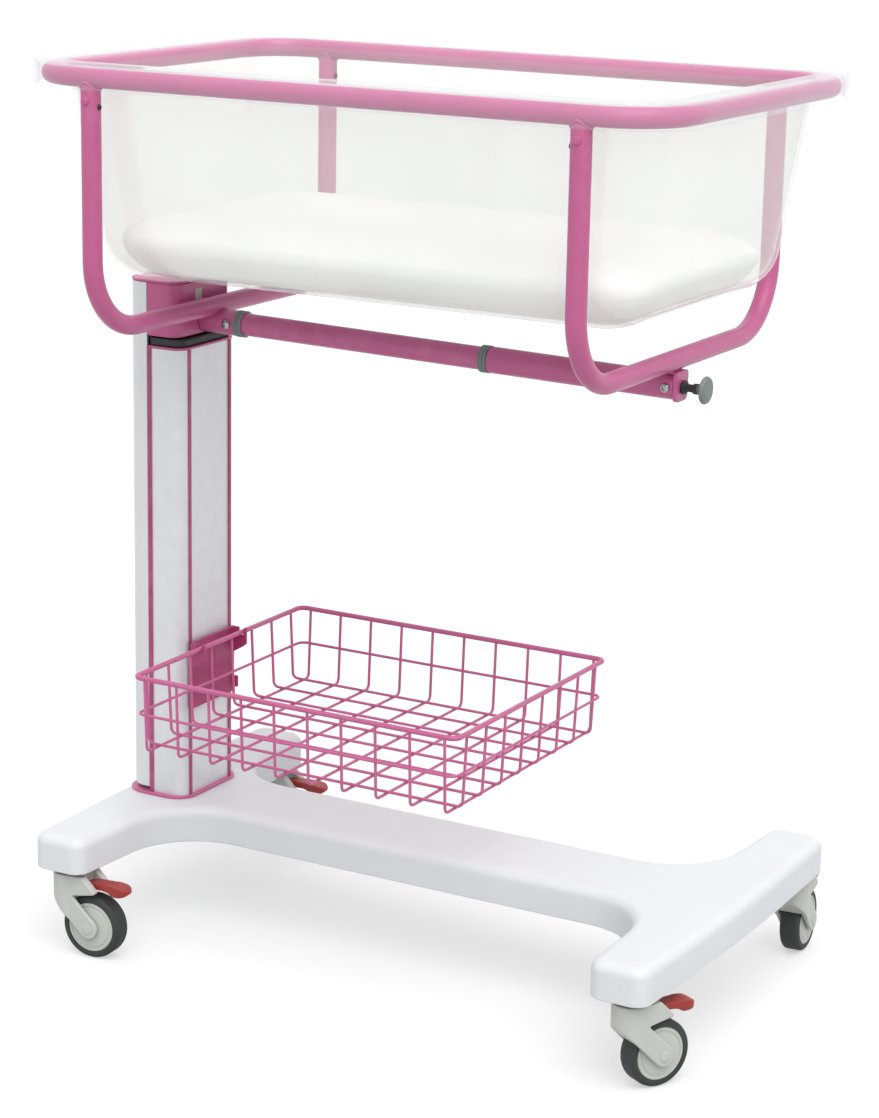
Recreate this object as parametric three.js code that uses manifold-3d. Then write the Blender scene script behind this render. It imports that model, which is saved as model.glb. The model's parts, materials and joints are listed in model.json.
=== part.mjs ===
// Hospital bassinet: clear tub in a tube cradle, carried by a lifting column on a castor base.
// Millimetres, +Z up, X along the tub (column at -X), origin on the floor below the middle.
import * as THREE from "three";
import { mergeVertices } from "three/addons/utils/BufferGeometryUtils.js";
import Module from "manifold-3d";

const wasm = await Module();
wasm.setup();

// Driving dimensions
const FIT_GAP = 0.3;

const TUBE_RADIUS = 11;
const TUBE_SIDES = 14;
const RIM_HALF_LENGTH = 377.5;
const RIM_HALF_WIDTH = 240;
const RIM_CORNER = 66;
const RIM_HEIGHT = 1015;
const HOOP_OFFSET = 293;
const HOOP_BEND = 80;
const HOOP_FLOOR = 737.5;

// The beam under the tub drops a little towards the foot end; its height is given at X = 0.
const BEAM_HEIGHT = 713.9;
const BEAM_DROP = THREE.MathUtils.degToRad(1.07);
const RAIL_RADIUS = 13;
const RAIL_BORE = 10.5;
const RAIL_START = -345;
const RAIL_END = 290;
const SLEEVE_RADIUS = 14.8;
const SLEEVE_BORE = 13.4;
const REAR_SLEEVE_START = -308.5;
const REAR_SLEEVE_END = -262;
const FRONT_SLEEVE_START = 69.5;
const FRONT_SLEEVE_END = 296;
const BUSH_LENGTH = 10;
const BUSH_RADIUS = 15.4;
const END_PLATE_THICKNESS = 5;
const END_PLATE_HALF = 14.5;
const END_PLATE_DROP = 15.5;
const END_PLATE_RISE = 17.5;
const KNOB_RADIUS = 15;
const KNOB_STEM_RADIUS = 5.5;
const KNOB_TIP = 332;

const TUB_FLOOR = 791;
const TUB_WALL = 4;
const TUB_RIM_GAP = 7.5;
const TUB_INSET = 17;
const TUB_BEND = 56;
const TUB_FLOOR_CORNER = 12;
const TUB_MOUTH_BEND = 8;
const FLANGE_REACH = 19;
const FLANGE_EDGE = 2;
const SKIRT_WALL = 3.5;
const SKIRT_DEPTH = 27;
const MATTRESS_HEIGHT = 54;
const MATTRESS_CROWN = 10;
const MATTRESS_HALF_LENGTH = 331;
const MATTRESS_HALF_WIDTH = 193.5;
const MATTRESS_CORNER = 64;
const MATTRESS_WAIST = 4;

const BASE_UNDERSIDE = 105;
const BASE_TOP = 147;
const BASE_EDGE = 12;
const BASE_WALL = 6;
const HEAD_FOOT = -353;
const TAIL_FOOT = 363;
const FOOT_END_HALF = 34;
const FOOT_ROOT_HALF = 41;
const FOOT_BOW_HALF = 43;
const FOOT_BOW_RADIUS = 3000;
const FOOT_REACH = 243;
const FOOT_CORNER = 18;
const WAIST_HALF = 60;
const WAIST_FILLET = 86;
const FRAME_BOTTOM = 112;
const FRAME_TOP = 136;

const CASTOR_REACH = 214;
const HEAD_STEM = -352;
const TAIL_STEM = 369;
const CASTOR_TRAIL = 32;
const WHEEL_RADIUS = 37.5;
const WHEEL_WIDTH = 26;
const WHEEL_SEGMENTS = 24;
const DISC_RADIUS = 29.5;
const FORK_INNER_HALF = WHEEL_WIDTH / 2 + 1.5;
const FORK_ARM = 5;
const FORK_HALF = FORK_INNER_HALF + FORK_ARM;
const FORK_TOP = 100;
const CROWN_RADIUS = 21;
const AXLE_RADIUS = 4;
const AXLE_HEAD = 6.5;
const PEDAL_PIVOT_X = 28;
const PEDAL_PIVOT_Z = 87;
const PEDAL_PIN = 2.2;
const PEDAL_PIN_HALF = 15;
const PEDAL_SLOT_HALF = 10.4;
const PEDAL_SLOT_FLOOR = 76;
const STEM_RADIUS = 6;
const STEM_COLLAR = 15;
const STEM_FOOT = 86;
const STEM_TOP = FRAME_TOP - 2.5;
const CASTOR_TURNS = {
  front_left: { x: HEAD_STEM, y: -CASTOR_REACH, degrees: 4 },
  front_right: { x: TAIL_STEM, y: -CASTOR_REACH, degrees: 61 },
  back_right: { x: TAIL_STEM, y: CASTOR_REACH, degrees: 95 },
  back_left: { x: HEAD_STEM, y: CASTOR_REACH, degrees: 5 },
};

const COLUMN_FACE = -303.5;
const COLUMN_BACK = -351;
const COLUMN_HALF = 57;
const COLUMN_CORNER = 15;
const COLUMN_WALL = 3.5;
const COLUMN_TOP = 689.5;
const COLUMN_FOOT = FRAME_TOP + FIT_GAP;
const RING_THICKNESS = 3;
const TRIM_WIDTH = 5;
const TRIM_PROUD = 1.2;
const CAP_THICKNESS = 9.5;
const MAST_BACK = -383.5;
const MAST_CORNER = 25;
const MAST_WALL = 4;
const MAST_FOOT = 155;
const MAST_TOP = 765.5;
const HEAD_FACE = -309.3;
const HEAD_TONGUE_HALF = 40;
const HEAD_FLOOR = 704;
const PLATE_THICKNESS = 3;
const GLIDE_HEIGHT = 60;
const GLIDE_FLOORS = { glide_lower: 470, glide_upper: 605 };
const SPRING_X = -327;
const SPRING_RADIUS = 14;
const SPRING_TOP = 560;
const ROD_RADIUS = 5;
const ROD_FOOT = 200;

const BASKET_CENTRE = -76.5;
const BASKET_HALF_LENGTH = 210.5;
const BASKET_HALF_WIDTH = 178;
const BASKET_RIM_HEIGHT = 334;
const BASKET_DEPTH = 88;
const BASKET_TAPER = 4;
const BASKET_CORNER = 10;
const RIM_WIRE = 3;
const GRID_WIRE = 1.7;
const CROSS_WIRES = 10;
const CROSS_SPACING = 43.6;
const LONG_WIRES = 8;
const LONG_SPACING = 44;
const WIRE_BEND = 7;
const BRACKET_HALF = 46;
const BRACKET_FLOOR = 258;
const BRACKET_TOP = 340;
const BRACKET_SHEET = 3;
const BRACKET_BOSSES = [275, 300];

// Finishes
const finish = (color, roughness, metalness = 0) =>
  new THREE.MeshStandardMaterial({ color, roughness, metalness });
const PINK_PAINT = finish(0xbe5a92, 0.38, 0.1);
const WHITE_COVER = finish(0xf2f3f4, 0.45);
const SILVER_PROFILE = finish(0xd9dbdc, 0.4, 0.6);
const BLACK_PLASTIC = finish(0x262829, 0.6);
const GREY_PLASTIC = finish(0x8c9694, 0.55);
const CASTOR_PLASTIC = finish(0xc3c5be, 0.5);
const TYRE_RUBBER = finish(0x3c3f3f, 0.8);
const BRAKE_RED = finish(0xaf3732, 0.45);
const BARE_STEEL = finish(0xb4b7ba, 0.3, 0.9);
const WHITE_FABRIC = finish(0xf4f4f2, 0.9);
const CLEAR_ACRYLIC = finish(0xf4f8f8, 0.08);
CLEAR_ACRYLIC.transparent = true;
CLEAR_ACRYLIC.opacity = 0.25;

// Joining and cutting
function solidOf(geometry) {
  const bare = geometry.index ? geometry.clone() : mergeVertices(geometry.clone());
  bare.deleteAttribute("normal");
  bare.deleteAttribute("uv");
  const merged = mergeVertices(bare, 1e-4);
  return new wasm.Manifold(
    new wasm.Mesh({
      numProp: 3,
      vertProperties: new Float32Array(merged.attributes.position.array),
      triVerts: new Uint32Array(merged.index.array),
    }),
  );
}

function geometryOf(solid) {
  const mesh = solid.getMesh();
  const geometry = new THREE.BufferGeometry();
  geometry.setAttribute("position", new THREE.BufferAttribute(new Float32Array(mesh.vertProperties), 3));
  geometry.setIndex(new THREE.BufferAttribute(new Uint32Array(mesh.triVerts), 1));
  geometry.computeVertexNormals();
  return geometry;
}

const join = (...geometries) => geometryOf(geometries.map(solidOf).reduce((sum, next) => sum.add(next)));

function cut(body, ...tools) {
  const start = solidOf(body);
  return geometryOf(tools.map(solidOf).reduce((left, tool) => left.subtract(tool), start));
}

// Basic forms
function box(x0, x1, y0, y1, z0, z1) {
  const geometry = new THREE.BoxGeometry(x1 - x0, y1 - y0, z1 - z0);
  return geometry.translate((x0 + x1) / 2, (y0 + y1) / 2, (z0 + z1) / 2);
}

function post(radius, z0, z1, x = 0, y = 0, sides = 24) {
  const geometry = new THREE.CylinderGeometry(radius, radius, z1 - z0, sides).rotateX(Math.PI / 2);
  return geometry.translate(x, y, (z0 + z1) / 2);
}

function rod(radius, x0, x1, z, y = 0, sides = TUBE_SIDES) {
  const geometry = new THREE.CylinderGeometry(radius, radius, x1 - x0, sides).rotateZ(-Math.PI / 2);
  return geometry.translate((x0 + x1) / 2, y, z);
}

// Beam pieces are made lying along X, then tilted and lifted into place.
const onBeam = (geometry) => geometry.rotateY(BEAM_DROP).translate(0, 0, BEAM_HEIGHT);
const beamRod = (radius, x0, x1, sides = TUBE_SIDES) => onBeam(rod(radius, x0, x1, 0, 0, sides));

// A solid of revolution from (radius, height) pairs, closed on its axis, standing along Z.
function turned(profile, segments) {
  const points = profile.map(([radius, height]) => new THREE.Vector2(radius, height));
  return new THREE.LatheGeometry(points, segments).rotateX(Math.PI / 2);
}

// A planar path through corners, each rounded by its own radius.
function roundedPath(corners, radii, closed, steps = 6) {
  const count = corners.length;
  const stations = [];
  corners.forEach((corner, index) => {
    if (!closed && (index === 0 || index === count - 1)) {
      const other = corners[index === 0 ? 1 : count - 2];
      const tangent = other.clone().sub(corner).normalize();
      stations.push({ at: corner.clone(), tangent: index === 0 ? tangent : tangent.negate() });
      return;
    }
    const arriving = corner.clone().sub(corners[(index + count - 1) % count]).normalize();
    const leaving = corners[(index + 1) % count].clone().sub(corner).normalize();
    const turn = arriving.angleTo(leaving);
    const setback = radii[index] * Math.tan(turn / 2);
    const start = corner.clone().addScaledVector(arriving, -setback);
    const inward = leaving.clone().addScaledVector(arriving, -leaving.dot(arriving)).normalize();
    for (let step = 0; step <= steps; step++) {
      const angle = (turn * step) / steps;
      const at = start.clone().addScaledVector(arriving, radii[index] * Math.sin(angle));
      at.addScaledVector(inward, radii[index] * (1 - Math.cos(angle)));
      const tangent = arriving.clone().multiplyScalar(Math.cos(angle));
      stations.push({ at, tangent: tangent.addScaledVector(inward, Math.sin(angle)) });
    }
  });
  return stations;
}

const roundSection = (radius, sides) =>
  Array.from({ length: sides }, (_, side) => {
    const angle = (2 * Math.PI * (side + 0.5)) / sides;
    return [radius * Math.cos(angle), radius * Math.sin(angle)];
  });

// Skins a list of equal rings of points into a closed surface, capped or joined end to end.
function skin(rings, closed) {
  const size = rings[0].length;
  const index = [];
  const bands = closed ? rings.length : rings.length - 1;
  for (let band = 0; band < bands; band++) {
    const here = band * size;
    const next = ((band + 1) % rings.length) * size;
    for (let side = 0; side < size; side++) {
      const beside = (side + 1) % size;
      index.push(here + side, here + beside, next + beside, here + side, next + beside, next + side);
    }
  }
  if (!closed) {
    const last = (rings.length - 1) * size;
    for (let side = 1; side < size - 1; side++) {
      index.push(0, side + 1, side, last, last + side, last + side + 1);
    }
  }
  const geometry = new THREE.BufferGeometry();
  const positions = rings.flat().flatMap((point) => [point.x, point.y, point.z]);
  geometry.setAttribute("position", new THREE.Float32BufferAttribute(positions, 3));
  geometry.setIndex(index);
  geometry.computeVertexNormals();
  return geometry;
}

// Sweeps a section along a planar path whose plane has the given normal.
function sweep(path, normal, section, closed = false) {
  const rings = path.map(({ at, tangent }) => {
    const side = normal.clone().cross(tangent);
    return section.map(([a, b]) => at.clone().addScaledVector(side, a).addScaledVector(normal, b));
  });
  return skin(rings, closed);
}

const ALONG_X = new THREE.Vector3(1, 0, 0);
const TOWARDS_FRONT = new THREE.Vector3(0, -1, 0);
const DOWN = new THREE.Vector3(0, 0, -1);

function rectangleCorners(halfLength, halfWidth, z, centreX = 0) {
  const signs = [[-1, -1], [1, -1], [1, 1], [-1, 1]];
  return signs.map(([sx, sy]) => new THREE.Vector3(centreX + sx * halfLength, sy * halfWidth, z));
}

function loop(halfLength, halfWidth, corner, z, section, centreX = 0, steps = 6) {
  const corners = rectangleCorners(halfLength, halfWidth, z, centreX);
  return sweep(roundedPath(corners, Array(4).fill(corner), true, steps), DOWN, section, true);
}

// One level ring of a moulded form: a rounded rectangle seen from above.
function levelRing(halfLength, halfWidth, corner, z, steps = 6) {
  const path = roundedPath(rectangleCorners(halfLength, halfWidth, z), Array(4).fill(corner), true, steps);
  return path.map(({ at }) => at);
}

// An upright plate or profile cut to a plan outline of rounded corners.
function planShape(corners, radii) {
  const flat = corners.map(([x, y]) => new THREE.Vector3(x, y, 0));
  return new THREE.Shape(roundedPath(flat, radii, true, 5).map(({ at }) => new THREE.Vector2(at.x, at.y)));
}

function upright(shape, z0, z1, edge = 0) {
  const geometry = new THREE.ExtrudeGeometry(shape, {
    depth: z1 - z0 - edge,
    bevelEnabled: edge > 0,
    bevelThickness: edge,
    bevelSize: edge,
    bevelOffset: -edge,
    bevelSegments: 3,
  });
  return geometry.translate(0, 0, z0);
}

const bassinet = new THREE.Group();

function add(parent, name, geometry, material) {
  const mesh = new THREE.Mesh(geometry, material);
  mesh.name = name;
  parent.add(mesh);
  return mesh;
}

// Base: a moulded cover with two cross feet over a welded steel frame
function footOutline(margin) {
  const reach = FOOT_REACH - margin;
  const waist = WAIST_HALF - margin;
  const end = FOOT_END_HALF - margin;
  const root = FOOT_ROOT_HALF - margin;
  const bow = FOOT_BOW_HALF - margin;
  const corner = FOOT_CORNER - margin;
  const fillet = WAIST_FILLET + margin;
  const corners = [
    [TAIL_FOOT + bow, 0], [TAIL_FOOT + end, reach], [TAIL_FOOT - end, reach], [TAIL_FOOT - root, waist],
    [HEAD_FOOT + root, waist], [HEAD_FOOT + end, reach], [HEAD_FOOT - end, reach],
    [HEAD_FOOT - bow, 0], [HEAD_FOOT - end, -reach], [HEAD_FOOT + end, -reach], [HEAD_FOOT + root, -waist],
    [TAIL_FOOT - root, -waist], [TAIL_FOOT - end, -reach], [TAIL_FOOT + end, -reach],
  ];
  const side = [FOOT_BOW_RADIUS, corner, corner, fillet, fillet, corner, corner];
  return planShape(corners, [...side, ...side]);
}

// An oblong seen from above, with one corner radius at its -X end and one at its +X end.
function oblongPlan(back, face, half, backCorner, faceCorner) {
  const corners = [[back, -half], [face, -half], [face, half], [back, half]];
  return planShape(corners, [backCorner, faceCorner, faceCorner, backCorner]);
}

const columnOutline = (margin) =>
  oblongPlan(COLUMN_BACK - margin, COLUMN_FACE + margin, COLUMN_HALF + margin, 2, COLUMN_CORNER + margin);

function baseCover() {
  const outer = upright(footOutline(0), BASE_UNDERSIDE, BASE_TOP, BASE_EDGE);
  // The bevel stands below the start plane as well, so the lower one is cut off level.
  const below = box(-500, 500, -500, 500, BASE_UNDERSIDE - 50, BASE_UNDERSIDE);
  const hollow = upright(footOutline(BASE_WALL), BASE_UNDERSIDE - 20, BASE_TOP - BASE_WALL);
  const columnHole = upright(columnOutline(FIT_GAP), BASE_UNDERSIDE, BASE_TOP + 10);
  return cut(outer, below, hollow, columnHole);
}

function baseFrame() {
  const footBar = 20;
  const spine = 25;
  const reach = FOOT_REACH - 14;
  const bars = [HEAD_STEM, TAIL_STEM].map((x) =>
    box(x - footBar, x + footBar, -reach, reach, FRAME_BOTTOM, FRAME_TOP),
  );
  const backbone = box(HEAD_STEM, TAIL_STEM, -spine, spine, FRAME_BOTTOM, FRAME_TOP - 4);
  const columnSeat = box(-375, -300, -COLUMN_HALF - 2, COLUMN_HALF + 2, FRAME_TOP - 10, FRAME_TOP);
  const sockets = Object.values(CASTOR_TURNS).map(({ x, y }) =>
    post(STEM_RADIUS + FIT_GAP, FRAME_BOTTOM - 5, FRAME_TOP - 2, x, y, 16),
  );
  return cut(join(...bars, backbone, columnSeat), ...sockets);
}

add(bassinet, "base_cover", baseCover(), WHITE_COVER);
add(bassinet, "base_frame", baseFrame(), BARE_STEEL);

// Castors: stem fixed in the frame, fork swivelling on it, wheel and brake pedal on the fork
function castorStem() {
  const collarFloor = FORK_TOP + FIT_GAP;
  const collarTop = FRAME_BOTTOM - FIT_GAP;
  const profile = [
    [0, STEM_FOOT], [STEM_RADIUS, STEM_FOOT], [STEM_RADIUS, collarFloor], [STEM_COLLAR, collarFloor],
    [STEM_COLLAR, collarTop], [STEM_RADIUS, collarTop], [STEM_RADIUS, STEM_TOP], [0, STEM_TOP],
  ];
  return turned(profile, 12);
}

// Side view of the fork: an upright shoulder, an arm down to the axle and a short roof over the wheel
function forkSide() {
  const armEnd = 12;
  const eighthTurn = Math.PI / 4;
  const top = FORK_TOP - 2;
  const outline = new THREE.Shape();
  outline.moveTo(-CROWN_RADIUS, top);
  outline.lineTo(-CROWN_RADIUS, 74);
  outline.absarc(CASTOR_TRAIL, WHEEL_RADIUS, armEnd, -3 * eighthTurn, eighthTurn, false);
  outline.lineTo(11, 75);
  outline.lineTo(41, 80.5);
  outline.lineTo(42.5, 83);
  outline.lineTo(26, top);
  const across = { depth: 2 * FORK_HALF + 4, bevelEnabled: false, curveSegments: 4 };
  return new THREE.ExtrudeGeometry(outline, across).rotateX(Math.PI / 2).translate(0, FORK_HALF + 2, 0);
}

// A short round bar across the fork, centred on the middle plane of the wheel.
const crossBar = (radius, half, x, z, sides = 8) =>
  new THREE.CylinderGeometry(radius, radius, 2 * half, sides).translate(x, 0, z);

function fork() {
  const rear = post(CROWN_RADIUS, 0, FORK_TOP, 0, 0, 20);
  const front = box(0, 60, -FORK_HALF, FORK_HALF, 0, FORK_TOP);
  const shoulder = geometryOf(solidOf(join(rear, front)).intersect(solidOf(forkSide())));
  const crownTop = post(CROWN_RADIUS - 2, FORK_TOP - 10, FORK_TOP, 0, 0, 20);
  const stemBore = post(STEM_RADIUS + FIT_GAP, STEM_FOOT - FIT_GAP, FORK_TOP + 5, 0, 0, 12);
  const wheelRoom = crossBar(WHEEL_RADIUS + 4, FORK_INNER_HALF, CASTOR_TRAIL, WHEEL_RADIUS, 20);
  const axleBore = crossBar(AXLE_RADIUS + FIT_GAP, FORK_HALF + 5, CASTOR_TRAIL, WHEEL_RADIUS, 12);
  const pedalSlot = box(CROWN_RADIUS, 60, -PEDAL_SLOT_HALF, PEDAL_SLOT_HALF, PEDAL_SLOT_FLOOR, FORK_TOP + 5);
  const pinHole = crossBar(PEDAL_PIN + FIT_GAP, PEDAL_PIN_HALF + FIT_GAP, PEDAL_PIVOT_X, PEDAL_PIVOT_Z);
  return cut(join(shoulder, crownTop), stemBore, wheelRoom, axleBore, pedalSlot, pinHole);
}

// Wheel pieces are turned round Z, then laid over so that they spin about the axle.
const onAxle = (geometry) => geometry.rotateX(-Math.PI / 2).translate(CASTOR_TRAIL, 0, WHEEL_RADIUS);

function axle() {
  const seat = FORK_HALF + FIT_GAP;
  const end = FORK_HALF + 2;
  const profile = [
    [0, -end], [AXLE_HEAD, -end], [AXLE_HEAD, -seat], [AXLE_RADIUS, -seat],
    [AXLE_RADIUS, seat], [AXLE_HEAD, seat], [AXLE_HEAD, end], [0, end],
  ];
  return onAxle(turned(profile, 12));
}

function wheelDisc() {
  const half = WHEEL_WIDTH / 2;
  // From the rim in to the hub: (radius, how far the face is sunk below the width of the wheel).
  const face = [
    [DISC_RADIUS - 0.2, 2], [DISC_RADIUS - 3.5, 1.5], [DISC_RADIUS - 5.5, 3], [AXLE_RADIUS + 0.5, 0.2],
  ];
  const upper = face.map(([radius, sunk]) => [radius, half - sunk]);
  const lower = upper.map(([radius, height]) => [radius, -height]).reverse();
  return onAxle(turned([...lower, ...upper, lower[0]], WHEEL_SEGMENTS));
}

function tyre() {
  const half = WHEEL_WIDTH / 2;
  const upper = [[WHEEL_RADIUS, half - 6], [WHEEL_RADIUS - 2, half - 1], [DISC_RADIUS, half - 1.6]];
  const lower = upper.map(([radius, height]) => [radius, -height]).reverse();
  return onAxle(turned([...lower, ...upper, lower[0]], WHEEL_SEGMENTS));
}

// Brake pedal: a paddle that starts between the cheeks of the fork, with a thick rounded toe
function pedal() {
  const root = 24;
  const tip = 79;
  const plan = planShape(
    [[root, -9], [42, -9], [62, -11], [tip, -11], [tip, 11], [62, 11], [42, 9], [root, 9]],
    [3, 20, 20, 10.5, 10.5, 20, 20, 3],
  );
  const slope = new THREE.Shape();
  slope.moveTo(root - 4, 83.8);
  slope.lineTo(49, 83.6);
  slope.quadraticCurveTo(55, 83, 58, 80.5);
  slope.quadraticCurveTo(60, 79, 64, 79);
  slope.quadraticCurveTo(tip - 1, 79, tip, 85);
  slope.quadraticCurveTo(tip - 3, 91, 58, 91.6);
  slope.lineTo(34, 91.6);
  slope.lineTo(root - 4, 90);
  const side = new THREE.ExtrudeGeometry(slope, { depth: 40, bevelEnabled: false, curveSegments: 4 });
  side.rotateX(Math.PI / 2).translate(0, 20, 0);
  const tall = upright(plan, 70, 105);
  const paddle = geometryOf(solidOf(tall).intersect(solidOf(side)));
  return join(paddle, crossBar(PEDAL_PIN, PEDAL_PIN_HALF, PEDAL_PIVOT_X, PEDAL_PIVOT_Z));
}

for (const [corner, { x, y, degrees }] of Object.entries(CASTOR_TURNS)) {
  const castor = new THREE.Group();
  castor.position.set(x, y, 0);
  castor.rotation.z = THREE.MathUtils.degToRad(degrees);
  bassinet.add(castor);
  add(castor, `castor_stem_${corner}`, castorStem(), BARE_STEEL);
  add(castor, `castor_fork_${corner}`, fork(), CASTOR_PLASTIC);
  add(castor, `castor_axle_${corner}`, axle(), CASTOR_PLASTIC);
  add(castor, `wheel_disc_${corner}`, wheelDisc(), CASTOR_PLASTIC);
  add(castor, `tyre_${corner}`, tyre(), TYRE_RUBBER);
  add(castor, `brake_pedal_${corner}`, pedal(), BRAKE_RED);
}

// Column: a fixed hollow profile with trims, and the mast that slides up behind it
const footRingPlan = oblongPlan(MAST_BACK - 5, COLUMN_FACE + 6, COLUMN_HALF + 6, 30, 27);
const ringFloor = BASE_TOP + FIT_GAP;
const ringTop = ringFloor + RING_THICKNESS;
const footRing = cut(
  upright(footRingPlan, ringFloor, ringTop),
  upright(columnOutline(FIT_GAP), ringFloor - 5, ringTop + 5),
);
add(bassinet, "column_foot_ring", footRing, PINK_PAINT);

const columnTube = cut(
  upright(columnOutline(0), COLUMN_FOOT, COLUMN_TOP),
  upright(columnOutline(-COLUMN_WALL), COLUMN_FOOT - 5, COLUMN_TOP + 5),
);
add(bassinet, "column_profile", columnTube, SILVER_PROFILE);

const trimFloor = ringTop + FIT_GAP;
const faceTrim = COLUMN_HALF - COLUMN_CORNER - 0.5;
for (const [end, sign] of Object.entries({ front: -1, back: 1 })) {
  const face = COLUMN_FACE + FIT_GAP;
  const along = sign * faceTrim - TRIM_WIDTH / 2;
  const faceStrip = box(face, face + TRIM_PROUD, along, along + TRIM_WIDTH, trimFloor, COLUMN_TOP);
  add(bassinet, `face_trim_${end}`, faceStrip, PINK_PAINT);
  const edge = COLUMN_BACK + 0.5;
  const middle = sign * (COLUMN_HALF + FIT_GAP + TRIM_PROUD / 2);
  const sideStrip = box(edge, edge + TRIM_WIDTH, -TRIM_PROUD / 2, TRIM_PROUD / 2, trimFloor, COLUMN_TOP);
  sideStrip.translate(0, middle, 0);
  add(bassinet, `side_trim_${end}`, sideStrip, PINK_PAINT);
}

const edgeFloor = COLUMN_TOP + FIT_GAP;
const edgeTop = edgeFloor + 2.5;
const edgeTrim = cut(
  upright(columnOutline(1), edgeFloor, edgeTop),
  upright(columnOutline(-COLUMN_WALL - 1), edgeFloor - 5, edgeTop + 5),
);
add(bassinet, "column_edge_trim", edgeTrim, PINK_PAINT);

const capFloor = edgeTop + FIT_GAP;
const columnCap = cut(
  upright(columnOutline(-2), capFloor, capFloor + CAP_THICKNESS),
  post(ROD_RADIUS + 1, capFloor - 5, capFloor + CAP_THICKNESS + 5, SPRING_X),
);
add(bassinet, "column_cap", columnCap, BLACK_PLASTIC);

for (const [name, floor] of Object.entries(GLIDE_FLOORS)) {
  const half = COLUMN_HALF - MAST_WALL - 0.5;
  const back = MAST_BACK + MAST_WALL + 0.5;
  const face = COLUMN_BACK - FIT_GAP;
  const plan = oblongPlan(back, face, half, MAST_CORNER - MAST_WALL, 1);
  add(bassinet, name, upright(plan, floor, floor + GLIDE_HEIGHT), BLACK_PLASTIC);
}

const springFoot = COLUMN_FOOT;
const springCylinder = turned(
  [
    [0, springFoot], [SPRING_RADIUS, springFoot], [SPRING_RADIUS, SPRING_TOP],
    [ROD_RADIUS + 0.5, SPRING_TOP], [ROD_RADIUS + 0.5, ROD_FOOT - 10], [0, ROD_FOOT - 10],
  ],
  20,
).translate(SPRING_X, 0, 0);
add(bassinet, "gas_spring_cylinder", springCylinder, BLACK_PLASTIC);
const springRod = post(ROD_RADIUS, ROD_FOOT, HEAD_FLOOR - FIT_GAP, SPRING_X, 0, 16);
add(bassinet, "gas_spring_rod", springRod, BARE_STEEL);

const mastPlan = oblongPlan(MAST_BACK, COLUMN_BACK - 1, COLUMN_HALF, MAST_CORNER, 1);
const channelBack = MAST_BACK + MAST_WALL;
const channelHalf = COLUMN_HALF - MAST_WALL;
const channelPlan = oblongPlan(channelBack, COLUMN_BACK + 10, channelHalf, MAST_CORNER - MAST_WALL, 1);
const mast = cut(upright(mastPlan, MAST_FOOT, MAST_TOP), upright(channelPlan, MAST_FOOT - 5, MAST_TOP + 5));
add(bassinet, "mast_profile", mast, SILVER_PROFILE);

// The head carries on the outline of the column; its tongue reaches back into the mast.
const headBack = COLUMN_BACK - 1 + FIT_GAP;
const tonguePlan = oblongPlan(channelBack + FIT_GAP, headBack + 5, HEAD_TONGUE_HALF, 12, 1);
const headPlan = oblongPlan(headBack, HEAD_FACE, COLUMN_HALF, 1, COLUMN_CORNER);
const head = cut(
  join(upright(tonguePlan, HEAD_FLOOR, MAST_TOP), upright(headPlan, HEAD_FLOOR, MAST_TOP)),
  beamRod(RAIL_RADIUS + FIT_GAP, RAIL_START - FIT_GAP, HEAD_FACE + 10),
);
add(bassinet, "head_bracket", head, PINK_PAINT);

const topPlan = oblongPlan(MAST_BACK - 1, HEAD_FACE, COLUMN_HALF + 0.5, 26, COLUMN_CORNER);
const plateFloor = MAST_TOP + FIT_GAP;
add(bassinet, "head_top_plate", upright(topPlan, plateFloor, plateFloor + PLATE_THICKNESS), PINK_PAINT);

// Cradle: rim and hoops of bent tube, rocking on a rail that runs out of the head bracket
const rail = cut(
  beamRod(RAIL_RADIUS, RAIL_START, RAIL_END),
  beamRod(RAIL_BORE, RAIL_START + 20, RAIL_END + 5),
);
add(bassinet, "cradle_rail", rail, PINK_PAINT);

function sleeve(x0, x1, ...welded) {
  const body = join(beamRod(SLEEVE_RADIUS, x0, x1), ...welded);
  return cut(body, beamRod(SLEEVE_BORE, x0 - 5, x1 + 5));
}
add(bassinet, "rear_sleeve", sleeve(REAR_SLEEVE_START, REAR_SLEEVE_END), PINK_PAINT);

// The foot-end hoop stands on a saddle block on the front sleeve.
const saddleBlock = onBeam(box(FRONT_SLEEVE_END - 18, FRONT_SLEEVE_END, -10, 10, 0, 24));
const hoopSeat = new THREE.CylinderGeometry(TUBE_RADIUS + FIT_GAP, TUBE_RADIUS + FIT_GAP, 60, 24);
hoopSeat.translate(HOOP_OFFSET, 0, HOOP_FLOOR);
const saddle = cut(saddleBlock, hoopSeat);
add(bassinet, "front_sleeve", sleeve(FRONT_SLEEVE_START, FRONT_SLEEVE_END, saddle), PINK_PAINT);

function bush(x0) {
  return cut(
    beamRod(BUSH_RADIUS, x0, x0 + BUSH_LENGTH),
    beamRod(RAIL_RADIUS + FIT_GAP, x0 - 5, x0 + BUSH_LENGTH + 5),
  );
}
add(bassinet, "rear_bush", bush(REAR_SLEEVE_END + FIT_GAP), GREY_PLASTIC);
add(bassinet, "front_bush", bush(FRONT_SLEEVE_START - FIT_GAP - BUSH_LENGTH), GREY_PLASTIC);

const SLEEVE_SCREWS = { rear_sleeve_screw: REAR_SLEEVE_END - 8, front_sleeve_screw: FRONT_SLEEVE_END - 8 };
for (const [name, x] of Object.entries(SLEEVE_SCREWS)) {
  const start = SLEEVE_RADIUS + FIT_GAP;
  const profile = [[0, start], [5.2, start], [5.2, start + 2], [3.4, start + 4], [0, start + 4]];
  const screw = turned(profile, 16).rotateX(Math.PI / 2).translate(x, 0, 0);
  add(bassinet, name, onBeam(screw), BARE_STEEL);
}

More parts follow.
